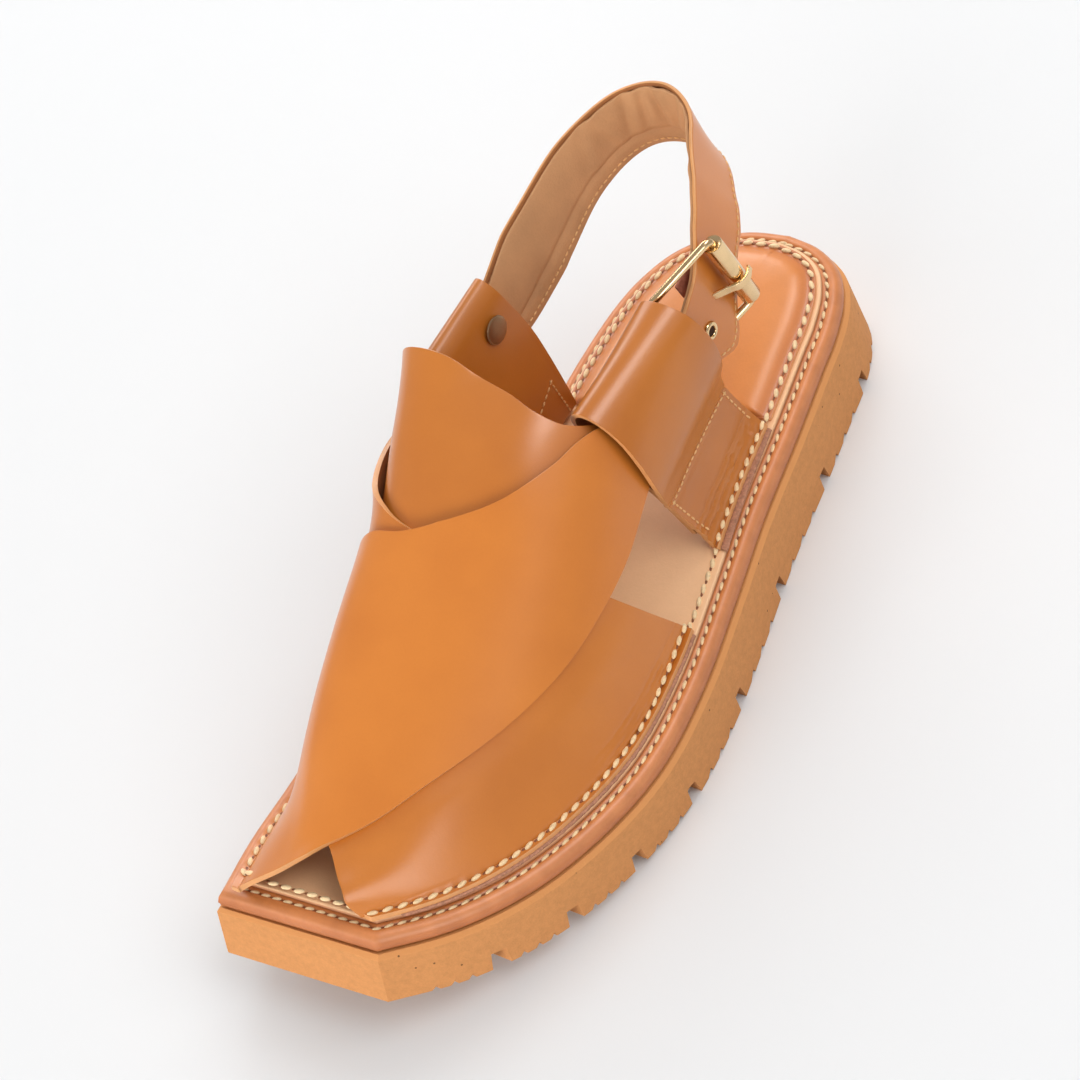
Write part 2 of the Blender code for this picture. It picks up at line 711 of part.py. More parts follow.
def make_heel_pad(collection):
    polished = principled("polished leather", (0.60, 0.27, 0.10), 0.35)
    layers = [heel_pad_layer(inwards, height) for inwards, height in HEEL_PAD_CROWN]
    return layered_solid("heel_pad", layers, polished, collection)


# ------------------------------------------------------------------ straps
def foot_rows(side, along):
    """The two rows of a strap's turned-out foot: its free edge and its crease."""
    rows = []
    for outward in (FLANGE, 0.6):
        across = base_line(side, along, BASE_INSET - outward)
        rows.append(np.stack([across, along, footbed_height(along, GAP + LEATHER / 2)], axis=-1))
    return rows


def strap_grid(table, rows, foot_side=None):
    """Grid of a strap's middle surface, from its table; its first row may turn out as a foot."""
    lines = smooth_rows(table, rows)
    share = np.linspace(0, 1, STRAP_COLUMNS)[None, :]
    girth = lines[:, 0:1] + (lines[:, 2:3] - lines[:, 0:1]) * share
    along = lines[:, 1:2] + (lines[:, 3:4] - lines[:, 1:2]) * share
    lift = lines[:, 4:5] + (lines[:, 5:6] - lines[:, 4:5]) * share**2
    grid = above_form(girth, along, lift)
    if foot_side is not None:
        grid = np.concatenate([np.stack(foot_rows(foot_side, along[0])), grid[1:]])
    return grid


def loop_grid(table, side, rows=26, columns=6):
    """Grid of a loop's middle surface, with its turned-out foot on the sole."""
    lines = smooth_rows(table, rows)
    share = np.linspace(0, 1, columns)[None, :, None]
    grid = lines[:, None, 0:3] + (lines[:, None, 3:6] - lines[:, None, 0:3]) * share
    return np.concatenate([np.stack(foot_rows(side, grid[0, :, 1])), grid])


def make_upper(collection, cutters):
    """The two vamp straps, joined where they cross."""
    tan = principled("tan leather", (0.62, 0.28, 0.09), 0.4)
    upper = sheet("upper", strap_grid(TOP_STRAP, 30, foot_side=-1), LEATHER, tan, collection)
    under = sheet("under_strap", strap_grid(UNDER_STRAP, 26, foot_side=1), LEATHER, tan, cutters)
    boolean(upper, as_cutter(under), "UNION")
    return upper


def make_tongue(collection):
    tan = principled("tongue leather", (0.62, 0.28, 0.09), 0.4)
    return sheet("tongue", strap_grid(TONGUE, 26), LEATHER, tan, collection)


def make_loops(collection):
    outer_tan = principled("outer loop leather", (0.62, 0.28, 0.09), 0.4)
    inner_tan = principled("inner loop leather", (0.62, 0.28, 0.09), 0.4)
    outer = sheet("outer_loop", loop_grid(OUTER_LOOP, 1), LEATHER, outer_tan, collection)
    inner = sheet("inner_loop", loop_grid(INNER_LOOP, -1), LEATHER, inner_tan, collection)
    return outer, inner


def heel_strap_grid(count=34, columns=4):
    """Grid of the heel band's middle surface, from the inner loop round to the outer one."""
    rows = smooth_path([row[:3] for row in HEEL_STRAP], count)
    knots = np.linspace(0, len(HEEL_STRAP) - 1, count)
    leans = np.interp(knots, range(len(HEEL_STRAP)), [row[3] for row in HEEL_STRAP])
    widths = np.interp(knots, range(len(HEEL_STRAP)), [row[4] for row in HEEL_STRAP])
    tangents = np.gradient(rows, axis=0)
    grid = []
    for centre, tangent, lean, width in zip(rows, tangents, leans, widths):
        tangent = tangent / np.linalg.norm(tangent)
        up = np.array([lean * 2 / width, 0.0, 1.0])
        up = up - tangent * (up @ tangent)
        up /= np.linalg.norm(up)
        spread = np.linspace(-0.5, 0.5, columns)[:, None] * width
        grid.append(centre + up * spread)
    return np.array(grid)


def make_heel_strap(collection):
    tan = principled("heel strap leather", (0.62, 0.28, 0.09), 0.4)
    return sheet("heel_strap", heel_strap_grid(), HEEL_STRAP_THICKNESS, tan, collection)


# ------------------------------------------------------------------ hardware
def unit(vector):
    vector = np.array(vector, float)
    return vector / np.linalg.norm(vector)


def turned(name, profile, centre, axis, material, collection, closed=False):
    """Solid of revolution about an axis, from (radius, height) pairs that run down its outside."""
    edges = [(i, i + 1) for i in range(len(profile) - 1)]
    if closed:
        edges.append((len(profile) - 1, 0))
    mesh = bpy.data.meshes.new(name)
    mesh.from_pydata([(radius * MM, 0.0, height * MM) for radius, height in profile], edges, [])
    thing = bpy.data.objects.new(name, mesh)
    thing.data.materials.append(material)
    thing.rotation_mode = "QUATERNION"
    thing.rotation_quaternion = Vector((0, 0, 1)).rotation_difference(Vector(axis))
    thing.location = to_metres([centre])[0]
    collection.objects.link(thing)
    turn = thing.modifiers.new("Turn", "SCREW")
    turn.steps = TURNED_SIDES
    turn.render_steps = TURNED_SIDES
    turn.use_merge_vertices = True
    turn.merge_threshold = 0.00001
    turn.use_smooth_shade = True
    return thing


def swept_strip(name, path, spread, width, thickness, material, collection, count=30, columns=2):
    """Flat strip along a path, spread either side of it."""
    rows = smooth_path(path, count)
    spread = unit(spread)
    share = np.linspace(-0.5, 0.5, columns)[None, :, None]
    grid = rows[:, None, :] + spread[None, None, :] * width * share
    return sheet(name, grid, thickness, material, collection)


def buckle_frame_line():
    """Rounded oblong through the frame's four corners."""
    top = np.array(ROLLER_TOP)
    bottom = np.array(ROLLER_BOTTOM)
    down = unit(bottom - top)
    forward = np.array(FRAME_FORWARD)
    corners = [
        top - down * FRAME_OVERHANG,
        bottom + down * FRAME_OVERHANG,
        bottom + down * FRAME_OVERHANG + forward,
        top - down * FRAME_OVERHANG + forward,
    ]
    line = []
    for i, corner in enumerate(corners):
        before = unit(corners[i - 1] - corner)
        after = unit(corners[(i + 1) % 4] - corner)
        for share in np.linspace(0, 1, 6):
            bend = (1 - share)**2 * before + share**2 * after
            line.append(corner + bend * FRAME_CORNER)
    return line


def make_buckle(collection, cutters, heel_strap):
    gold = principled("pale gold frame", (0.80, 0.66, 0.42), 0.25, 1.0)
    roller_gold = principled("pale gold roller", (0.80, 0.66, 0.42), 0.25, 1.0)
    prong_gold = principled("pale gold prong", (0.80, 0.66, 0.42), 0.25, 1.0)
    chape_leather = principled("chape leather", (0.48, 0.22, 0.12), 0.6)
    top = np.array(ROLLER_TOP)
    bottom = np.array(ROLLER_BOTTOM)
    length = np.linalg.norm(bottom - top)
    tube("buckle_frame", buckle_frame_line(), WIRE_RADIUS, gold, collection, closed=True)
    barrel = (
        (ROLLER_BORE, length / 2),
        (ROLLER_RADIUS, length / 2),
        (ROLLER_RADIUS, -length / 2),
        (ROLLER_BORE, -length / 2),
    )
    middle = (top + bottom) / 2
    turned("buckle_roller", barrel, middle, bottom - top, roller_gold, collection, closed=True)
    swept_strip("buckle_prong", PRONG, bottom - top, PRONG_WIDTH, PRONG_THICKNESS, prong_gold, collection)
    chape = swept_strip(
        "chape", CHAPE, bottom - top, CHAPE_WIDTH, CHAPE_THICKNESS, chape_leather, collection, 28
    )
    slot = box("chape_slot", (13.2, 65.0, 83.2), (8.0, 8.0, PRONG_WIDTH + 1.0), cutters)
    boolean(chape, slot, "DIFFERENCE")
    hole = box("prong_hole", (20.8, 79.0, 87.2), (8.0, 6.8, PRONG_WIDTH + 1.6), cutters)
    boolean(heel_strap, hole, "DIFFERENCE")


def box(name, centre, size, collection):
    bpy.ops.mesh.primitive_cube_add(size=MM)
    thing = bpy.context.active_object
    thing.name = name
    thing.data.name = name
    thing.scale = size
    thing.location = to_metres([centre])[0]
    for holder in list(thing.users_collection):
        holder.objects.unlink(thing)
    collection.objects.link(thing)
    return as_cutter(thing)


def make_eyelet(collection, cutters, heel_strap):
    """Eyelet set through the strap's tail, square to it."""
    brass = principled("eyelet brass", (0.72, 0.55, 0.32), 0.3, 1.0)
    grid = heel_strap_grid()
    middle = (grid[:, 1] + grid[:, 2]) / 2
    tail = len(middle) // 2 + int(np.argmin(np.abs(middle[len(middle) // 2:, 1] - EYELET_ALONG)))
    centre = middle[tail]
    outward = unit(np.cross(grid[tail, 2] - grid[tail, 1], middle[tail + 1] - middle[tail - 1]))
    if outward[0] < 0:
        outward = -outward
    half = HEEL_STRAP_THICKNESS / 2
    profile = (
        (EYELET_BORE, half + 0.55),
        (EYELET_BORE + 0.3, half + 0.85),
        (EYELET_RADIUS - 0.3, half + 0.65),
        (EYELET_RADIUS, half + 0.15),
        (EYELET_BORE + 0.4, half + 0.15),
        (EYELET_BORE + 0.4, -half),
        (EYELET_BORE, -half),
    )
    turned("eyelet", profile, centre, outward, brass, collection, closed=True)
    reach = outward * 6
    hole = cylinder_between("eyelet_hole", centre - reach, centre + reach, EYELET_BORE + 0.7, brass, cutters)
    boolean(heel_strap, as_cutter(hole), "DIFFERENCE")


def make_rivet(collection, cutters, loop, heel_strap):
    """Flat-headed rivet through both legs of the inner loop and the strap's end."""
    bronze = principled("dark bronze", (0.28, 0.20, 0.13), 0.45, 1.0)
    centre = np.array(RIVET)
    axis = unit((1.0, 0.0, 0.11))
    profile = (
        (0.0, 1.9),
        (RIVET_RADIUS - 1.0, 1.9),
        (RIVET_RADIUS, 1.4),
        (RIVET_RADIUS, 1.0),
        (SHANK_RADIUS, 1.0),
        (SHANK_RADIUS, -RIVET_DEPTH),
        (RIVET_RADIUS, -RIVET_DEPTH),
        (RIVET_RADIUS, -RIVET_DEPTH - 0.5),
        (RIVET_RADIUS - 1.0, -RIVET_DEPTH - 1.0),
        (0.0, -RIVET_DEPTH - 1.0),
    )
    turned("rivet", profile, centre, axis, bronze, collection)
    reach = axis * 16
    hole = cylinder_between(
        "rivet_hole", centre - reach, centre + reach * 0.3, SHANK_RADIUS + GAP, bronze, cutters
    )
    as_cutter(hole)
    boolean(loop, hole, "DIFFERENCE")
    boolean(heel_strap, hole, "DIFFERENCE")


def main():
    clear_scene()
    parts = new_collection("kaptan_chappal")
    cutters = new_collection("cutters")
    make_outsole(parts)
    make_midsole(parts)
    make_insole(parts)
    make_heel_pad(parts)
    make_upper(parts, cutters)
    make_tongue(parts)
    inner_loop = make_loops(parts)[1]
    heel_strap = make_heel_strap(parts)
    make_eyelet(parts, cutters, heel_strap)
    make_rivet(parts, cutters, inner_loop, heel_strap)
    make_buckle(parts, cutters, heel_strap)


main()
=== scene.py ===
"""Kaptan chappal, left shoe: the leather, stitching and metal that dress the sandal's solids.

Drawing sizes are in millimetres.  place() turns a drawing point into the part's own frame, in metres:
+Z up, toe towards -Y, heel towards +Y, outer side of the foot towards +X.
"""

import functools
import math

import bpy
import numpy as np
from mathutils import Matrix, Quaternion, Vector
from mathutils.bvhtree import BVHTree


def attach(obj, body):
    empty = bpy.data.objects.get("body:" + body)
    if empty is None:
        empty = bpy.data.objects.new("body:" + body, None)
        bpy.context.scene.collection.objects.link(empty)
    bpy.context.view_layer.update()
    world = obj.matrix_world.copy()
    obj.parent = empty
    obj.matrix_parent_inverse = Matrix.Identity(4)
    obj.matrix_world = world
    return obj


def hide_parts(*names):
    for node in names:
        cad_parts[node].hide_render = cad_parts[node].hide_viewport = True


bl_info = {
    "name": "Kaptan chappal",
    "version": (1, 0, 0),
    "blender": (4, 5, 0),
    "location": "3D View > Sidebar > Sandal",
    "description": "Builds a leather sandal with crossed straps, sole stitching and a buckled heel strap",
    "category": "Object",
}

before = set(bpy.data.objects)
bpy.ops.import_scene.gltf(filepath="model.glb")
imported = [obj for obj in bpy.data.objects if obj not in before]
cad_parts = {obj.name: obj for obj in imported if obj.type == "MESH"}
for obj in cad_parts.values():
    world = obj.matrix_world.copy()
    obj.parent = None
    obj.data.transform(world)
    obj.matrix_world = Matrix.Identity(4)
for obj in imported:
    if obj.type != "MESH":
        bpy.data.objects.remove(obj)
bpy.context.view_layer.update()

# ------------------------------------------------------------------ driving dimensions, mm
MM = 0.001
GAP = 0.3                    # clearance that touching pieces keep

HEEL_SEAT_HEIGHT = 24.2      # top of the outsole above the floor, at the middle of the shoe
HEEL_PITCH = 0.0313          # rise of the sole's top towards the heel, per mm of length
TOE_SPRING = 21.0            # lift of the sole's top at the toe
SPRING_START = -31.5         # where the sole starts to lift
SPRING_LENGTH = 115.0        # length over which it lifts

OUTSOLE_MARGIN = 1.2         # outsole's edge outside the midsole's edge
OUTSOLE_CHAMFER = 1.3
OUTSOLE_TOE_THICKNESS = 18.8
OUTSOLE_BALL_THICKNESS = 22.4
MIDSOLE_THICKNESS = 6.4
INSOLE_THICKNESS = 1.8
FOOTBED = MIDSOLE_THICKNESS + INSOLE_THICKNESS + GAP

GROOVE_DEPTH = 6.5           # main tread grooves
GROOVE_WIDTH = 4.5
TOOTH_DEPTH = 2.0            # saw teeth between the grooves
TEETH_PER_BLOCK = 4
GROOVES = (-112.0, -90.0, -66.0, -40.0, -6.0, 34.0, 75.0, 112.0)

FRONT_ZONE_END = -120.0      # in front of this the rungs of the sole follow its slanted front edge
HEEL_LAST_ANGLE = 86.0       # last rung round the heel, short of its very back
SMALL_STEP = 0.3             # length of the steep faces of grooves and teeth
NO_TEETH_BEFORE = -132.0

LEATHER = 2.0                # strap leather
BASE_INSET = 10.0            # line where the straps rise, inside the sole's edge
FLANGE = 3.2                 # turned-out foot of a strap, beyond that line

# Sole outline.  Each row: how far along the shoe, the outer edge and the inner edge.
SOLE_STATIONS = (
    # along, outer, inner
    (-119.5, 27.5, -49.6),
    (-98.5, 40.5, -52.0),
    (-72.5, 49.5, -54.0),
    (-45.5, 54.0, -52.8),
    (-15.5, 52.5, -49.4),
    (14.5, 47.0, -46.6),
    (43.5, 41.0, -45.6),
    (73.5, 36.5, -47.0),
)
FRONT_CORNER_OUTER = (11.0, -136.5)
FRONT_CORNER_INNER = (-44.0, -142.0)
HEEL_POINTS = (
    # outer side: across, along; inner side: across, along
    (32.2, 99.0, -45.9, 98.0),
    (30.2, 111.0, -43.2, 110.5),
    (26.2, 123.5, -37.6, 122.6),
    (19.6, 133.2, -28.5, 131.8),
    (9.8, 138.6, -15.5, 138.0),
    (-2.0, 140.4, -2.0, 140.4),
)
HEEL_START = 98.5
HEEL_DEPTH = HEEL_POINTS[-1][1] - HEEL_START
FRONT_ALONG = (FRONT_CORNER_OUTER[1] + FRONT_CORNER_INNER[1]) / 2   # middle of the front edge

# Middle of the footprint as drawn, which becomes the origin.
DRAWN_CENTRE = (0.07, -2.82, 0.0)

# Heel pad, laid on the insole.
HEEL_PAD_FRONT = 46.0
HEEL_PAD_INSETS = (17.2, 7.0)          # between the loops, then over the heel seat
HEEL_PAD_WIDENS = {1: 70.6, -1: 57.0}  # where the outer and the inner side go from one to the other

# Foot form that the straps are drawn over.  Heights stand on the footbed.
FORM_ROWS = (
    # along, crest across, crest height, inner wall angle, outer wall angle, inner fullness, outer fullness
    (-145, -12, 6, 45, 42, 0.42, 0.60),
    (-118, -12, 12.5, 48, 45, 0.48, 0.60),
    (-90, -16, 28.5, 70, 50, 0.76, 0.60),
    (-60, -16, 42.5, 83, 55, 0.92, 0.60),
    (-30, -14, 55.0, 94, 62, 0.96, 0.60),
    (0, -12, 68, 103, 72, 1.08, 0.60),
    (30, -12, 72, 102, 80, 1.12, 0.65),
    (60, -12, 70, 97, 84, 1.00, 0.65),
    (90, -12, 68, 92, 86, 0.80, 0.65),
)


# Strap outlines on the form.  Girth runs from 0 at the inner base line to 1 at the outer one.
# Each row: girth and along on the strap's front edge, then on its back edge, then the
# middle of the leather's thickness above the form at either edge.
TOP_STRAP = (
    # front girth, front along, back girth, back along, front lift, back lift
    (0.00, -137.5, 0.00, -46.0, 1.2, 1.2),
    (0.16, -134.5, 0.12, -41.0, 1.3, 2.8),
    (0.31, -130.0, 0.22, -34.0, 1.8, 4.4),
    (0.43, -124.0, 0.32, -29.5, 3.4, 4.8),
    (0.54, -114.0, 0.41, -28.0, 4.4, 4.6),
    (0.63, -102.5, 0.48, -24.0, 4.4, 4.4),
    (0.700, -87.5, 0.54, -17.5, 4.4, 4.4),
    (0.760, -68.5, 0.585, -11.0, 4.4, 4.4),
    (0.802, -47.5, 0.620, -3.5, 4.4, 4.2),
    (0.828, -26.0, 0.650, 5.0, 4.2, 3.8),
    (0.840, -5.0, 0.672, 14.0, 3.8, 3.4),
    (0.834, 12.0, 0.696, 21.0, 3.1, 3.1),
    (0.822, 26.0, 0.730, 27.0, 2.9, 2.9),
)
UNDER_STRAP = (
    # front girth, front along, back girth, back along, front lift, back lift
    (1.00, -129.5, 1.00, -3.0, 1.2, 1.2),
    (0.88, -129.5, 0.93, -9.5, 2.2, 2.4),
    (0.74, -127.5, 0.86, -14.5, 3.0, 3.2),
    (0.60, -123.0, 0.76, -20.0, 3.3, 3.3),
    (0.48, -112.5, 0.65, -25.0, 3.3, 3.3),
    (0.37, -94.0, 0.54, -27.5, 3.3, 3.3),
    (0.25, -68.0, 0.44, -26.5, 3.3, 3.3),
    (0.16, -40.0, 0.34, -22.5, 3.3, 4.6),
    (0.10, -14.0, 0.235, -13.0, 3.6, 6.2),
    (0.07, 6.0, 0.165, 6.0, 4.4, 7.4),
    (0.05, 27.0, 0.13, 27.0, 5.2, 9.4),
)
TONGUE_PLY = 1.6
TONGUE = (
    # front girth, front along, back girth, back along, front lift, back lift
    (0.07, 20.0, 0.13, 25.0, 2.6, 6.4),
    (0.09, 4.0, 0.19, 22.0, 1.8, 9.8),
    (0.13, -12.0, 0.275, 21.0, 1.2, 11.0),
    (0.20, -28.0, 0.37, 21.0, 1.0, 6.8),
    (0.32, -41.0, 0.44, 19.5, 1.0, 2.4),
    (0.46, -46.0, 0.51, 17.8, 1.0, 1.0),
    (0.60, -42.0, 0.57, 15.5, 1.0, 1.0),
    (0.74, -26.0, 0.63, 16.0, 1.0, 1.0),
    (0.82, -2.0, 0.68, 20.5, 0.8, 0.8),
    (0.82, 26.0, 0.72, 27.0, 0.6, 0.6),
)

# Side loops: a strip that rises from the sole, folds over at the top and comes back down
# inside.  Each row: middle of the leather at the strip's front edge, then at its back edge.
OUTER_LOOP = (
    # front across, front along, front height, back across, back along, back height
    (32.4, 25.0, 41.0, 23.6, 70.0, 41.5),
    (29.4, 22.6, 53.0, 21.8, 67.6, 54.0),
    (30.2, 19.6, 64.0, 22.9, 66.3, 64.0),
    (31.2, 18.0, 74.0, 26.6, 65.7, 73.0),
    (28.8, 18.6, 84.0, 28.3, 65.2, 82.0),
    (24.6, 19.6, 92.0, 28.2, 64.3, 91.0),
    (19.2, 20.0, 97.8, 25.8, 63.2, 98.8),
    (13.4, 20.2, 100.0, 20.6, 62.4, 102.6),
    (9.4, 20.4, 98.0, 14.6, 62.2, 103.0),
    (8.2, 20.6, 93.0, 10.0, 62.2, 100.2),
    (10.4, 21.0, 86.0, 8.8, 62.8, 92.0),
    (15.4, 21.5, 78.5, 8.9, 63.4, 81.0),
    (20.5, 22.0, 69.5, 10.8, 64.4, 70.0),
    (24.4, 23.0, 60.5, 16.0, 65.4, 60.5),
    (27.0, 24.4, 49.0, 20.2, 67.6, 49.5),
    (29.6, 25.4, 39.0, 22.0, 70.5, 39.5),
)
INNER_LOOP = (
    # front across, front along, front height, back across, back along, back height
    (-37.4, 25.0, 41.0, -37.0, 56.5, 41.0),
    (-39.4, 25.0, 52.0, -39.0, 56.0, 52.0),
    (-42.0, 24.5, 66.0, -41.6, 55.5, 66.0),
    (-44.0, 24.2, 80.0, -44.4, 55.0, 80.0),
    (-45.8, 24.0, 92.0, -46.2, 54.0, 91.5),
    (-46.0, 24.0, 100.0, -45.8, 53.0, 99.6),
    (-43.0, 24.0, 104.0, -42.8, 52.4, 104.2),
    (-39.2, 24.2, 101.4, -38.8, 52.4, 101.2),
    (-37.0, 24.6, 93.0, -36.4, 53.4, 92.5),
    (-35.2, 25.0, 80.0, -34.4, 54.6, 80.0),
    (-34.0, 25.5, 66.0, -33.4, 55.0, 66.0),
    (-33.8, 26.0, 52.0, -33.2, 55.4, 52.0),
    (-34.0, 26.0, 40.0, -33.6, 56.0, 40.0),
)

# Heel strap.  Each row: middle of the band, how far its upper edge leans across, its width.
HEEL_STRAP_THICKNESS = 3.0
HEEL_LEATHER = 1.4           # its outer leather and its lining, as they show
LINING_PLY = 1.1
HEEL_STRAP = (
    # across, along, height, lean, width
    (-41.0, 37.0, 88.0, -1.2, 22.0),
    (-39.8, 54.0, 88.6, -2.0, 26.0),
    (-36.9, 78.0, 97.7, -3.8, 27.8),
    (-32.5, 101.0, 106.0, -2.5, 26.8),
    (-23.0, 118.2, 110.0, -1.0, 26.6),
    (-10.5, 123.4, 111.3, 0.0, 26.6),
    (1.5, 119.0, 110.0, -1.5, 27.0),
    (11.2, 106.0, 105.0, -3.2, 28.0),
    (15.4, 98.0, 100.6, -3.2, 28.2),
    (17.6, 90.5, 95.4, -1.4, 27.4),
    (20.2, 80.0, 87.8, -0.9, 27.4),
    (21.1, 68.0, 82.2, -0.8, 26.8),
    (20.8, 54.0, 79.0, -1.0, 22.0),
)

# Buckle: an oblong wire frame, a loose roller on its rear bar, a prong on its front bar.
ROLLER_TOP = (23.6, 85.4, 106.2)
ROLLER_BOTTOM = (25.4, 89.6, 76.7)
FRAME_FORWARD = (-11.4, -22.9, -8.5)     # from the rear bar to the front bar
FRAME_OVERHANG = 2.2                     # side bars beyond the roller's ends
FRAME_CORNER = 2.6
WIRE_RADIUS = 1.2
ROLLER_RADIUS = 3.2
PRONG = (
    # across, along, height
    (12.9, 62.6, 83.0),
    (11.1, 63.6, 83.1),
    (11.2, 65.8, 83.2),
    (13.0, 66.7, 83.4),
    (15.4, 68.0, 83.8),
    (16.9, 72.0, 85.2),
    (18.0, 76.1, 86.5),
    (22.2, 79.6, 87.7),
    (25.4, 82.7, 88.2),
    (27.9, 85.0, 88.3),
    (29.1, 88.0, 88.8),
    (28.6, 91.0, 90.2),
)
PRONG_THICKNESS = 1.1
EYELET_ALONG = 70.1
EYELET_RADIUS = 3.1
EYELET_BORE = 1.6
RIVET = (-36.0, 43.4, 93.6)
RIVET_RADIUS = 4.6
RIVET_DEPTH = 11.6           # from the head's seat to the washer outside the loop
SHANK_RADIUS = 1.5


# ------------------------------------------------------------------ sizes that only the looks use, mm
CAMERA_PLACE = (625.73, -443.50, 991.58)
CAMERA_HEADING = 144.821     # of the line of sight, from +X towards +Y, degrees
CAMERA_FALL = 50.443         # of the line of sight below the horizon, degrees
CAMERA_ROLL = -29.250
CAMERA_LENS = 133.44
LAMP_AIM = (0.0, 0.0, 0.05)  # metres
LAMPS = (
    # name, metres to the right, up and towards the camera, size, watts
    ("key_front", (0.55, 0.75, 1.6), (1.2, 1.2), 13.5),
    ("fill_toe", (-1.0, -1.25, 0.9), (1.5, 1.0), 28),
    ("fill_top", (0.0, 1.7, 0.55), (1.5, 1.0), 12),
    ("fill_back", (-0.55, 1.6, -0.6), (1.5, 1.2), 14),
    ("fill_left", (-1.8, -0.5, 0.05), (1.2, 1.2), 7),
    ("sheen_top", (0.0, 1.2, 1.5), (0.7, 0.5), 10),
    ("sheen_pad", (0.2, 1.7, 0.75), (0.35, 0.5), 5),
    ("sheen_left", (-0.85, 1.65, -0.4), (1.6, 0.5), 14),
    ("sheen_toe", (0.3, -0.8, 1.65), (0.55, 0.9), 7.5),
)
COAT_ROUGHNESS = 0.3
GOLD_ROUGHNESS = 0.20
HIDE_CLOUDING = 0.45         # how far a hide's two tones cloud over each other
PLY = 1.7                    # leather as it shows at its cut edges
EDGE_ROUNDING = 0.5
OUTER_ROW_INSET = 4.4
OUTER_ROW_LIFT = 6.45
INNER_ROW_INSET = 8.6
INNER_ROW_FRONT_INSET = 9.0
INSOLE_SHOWN_INSET = 5.7
TAIL_BELLY_ALONG = 78.0
LOOP_SEAM_HEIGHT = (59.3, 56.0)   # of the outer loop's long seam, at the loop's front and back edges
OUTER_ROW_STITCHES = 166
INNER_ROW_STITCHES = 140

# Midsole edge: how far in from the edge, height on the outsole, and tone from 0 to 1. Tone 0 is painted
# shade in the gap on the outsole, the burnished side follows, the upper rounding carries a painted highlight
# and tone 1 is painted shade in the outer row's groove.
MIDSOLE_EDGE = (
    # inset, lift, tone
    (6.0, 0.30, 0.00),
    (1.6, 0.30, 0.00),
    (0.9, 0.55, 0.05),
    (0.40, 1.05, 0.15),
    (0.10, 1.80, 0.25),
    (0.0, 2.60, 0.34),
    (0.05, 3.40, 0.44),
    (0.25, 4.20, 0.55),
    (0.60, 4.95, 0.64),
    (1.15, 5.60, 0.72),
    (1.85, 6.10, 0.80),
    (2.60, 6.36, 0.86),
    (3.30, 6.42, 0.90),
    (3.75, 6.28, 0.94),
    (4.10, 6.02, 0.98),
    (4.40, 5.92, 1.00),
    (4.70, 6.02, 0.98),
    (5.05, 6.28, 0.94),
    (5.60, 6.40, 0.92),
    (9.0, 6.40, 0.92),
)
UNDER_PLY_HIDDEN_INSET = 8.2  # inner edge of the under-plies, below the straps' feet
UNDER_PLIES = (
    # name, first along, last along, outer inset at the front, at the back
    ("vamp_under_ply", -124.0, -4.0, 6.05, 5.95),
    ("loop_under_ply", 25.6, 69.5, 5.1, 5.95),
)
TAIL_UNDER_PLY = (
    # across, along, height of the upper edge of the ply that shows inside the buckle
    (15.6, 72.0, 98.6),
    (16.0, 74.5, 99.4),
    (16.4, 77.0, 100.0),
    (16.8, 79.5, 100.4),
    (17.4, 82.0, 100.2),
)
TAIL_UNDER_PLY_DROP = (0.6, 0.8, -6.0)
PRONG_WIDTHS = (2.6, 2.6, 2.6, 2.6, 2.6, 2.7, 2.8, 3.0, 3.2, 3.2, 2.9, 2.2)
LINING_FOLDS = (
    # place along the band, width, both as shares of its length; depth; slant
    (0.30, 0.012, 0.35, 0.05),
    (0.345, 0.010, 0.5, -0.03),
    (0.385, 0.011, 0.8, 0.04),
    (0.42, 0.009, 0.55, 0.02),
    (0.455, 0.010, 0.9, -0.02),
    (0.49, 0.009, 0.6, 0.03),
    (0.525, 0.010, 0.85, 0.0),
    (0.56, 0.010, 0.5, -0.03),
    (0.60, 0.012, 0.4, 0.02),
)
LINING_RELIEF = 1.25         # scale of the lining's padding and folds
LINING_BULGE = 0.9
FIRST_CREASE = 4.6           # from the free edge of a strap's foot
LOOP_FLANGE = 2.5            # turned-out foot of the outer loop
SEAM_DEPTH = 0.6             # how far the outer loop is drawn in along its seam
SEAM_REACH = 1.1
STITCH_PULL = 0.4            # how far a stitch pulls the leather down
STITCH_REACH = 1.5
LOOP_SEAMS = (
    ("loop_front_stitches", ((34.2, 27.6, 40.5), (31.8, 25.8, 50.0), (30.2, 23.4, 59.3))),
    ("loop_top_stitches", ((30.2, 23.4, 59.3), (26.0, 38.0, 58.4), (23.6, 53.0, 57.2), (21.5, 65.2, 56.0))),
    ("loop_back_stitches", ((21.5, 65.2, 56.0), (22.2, 66.6, 48.0), (23.8, 68.0, 40.5))),
)
INNER_LOOP_SEAMS = (
    ("inner_loop_top_stitches", ((-33.0, 27.0, 46.0), (-33.2, 38.0, 52.0), (-33.4, 50.5, 58.5))),
    ("inner_loop_back_stitches", ((-33.4, 50.5, 58.5), (-33.2, 51.4, 50.0), (-33.4, 52.0, 41.5))),
)
EYELET_SHIFT = (0.5, 1.2, -1.8)   # from the middle of the strap's tail
FINE_STITCH = (0.0018, 0.0007, 0.0006)   # length, width and height, metres
FINE_STITCH_LIFT = 0.08      # of the thread's middle above the leather
FINE_PITCH = 2.25
ROW_LIFT = 0.12              # of the sole stitches' middle above what they hold
HOLE_SHADOW_LIFT = -0.06            # of the dark discs between them, painted shadows in the stitch holes
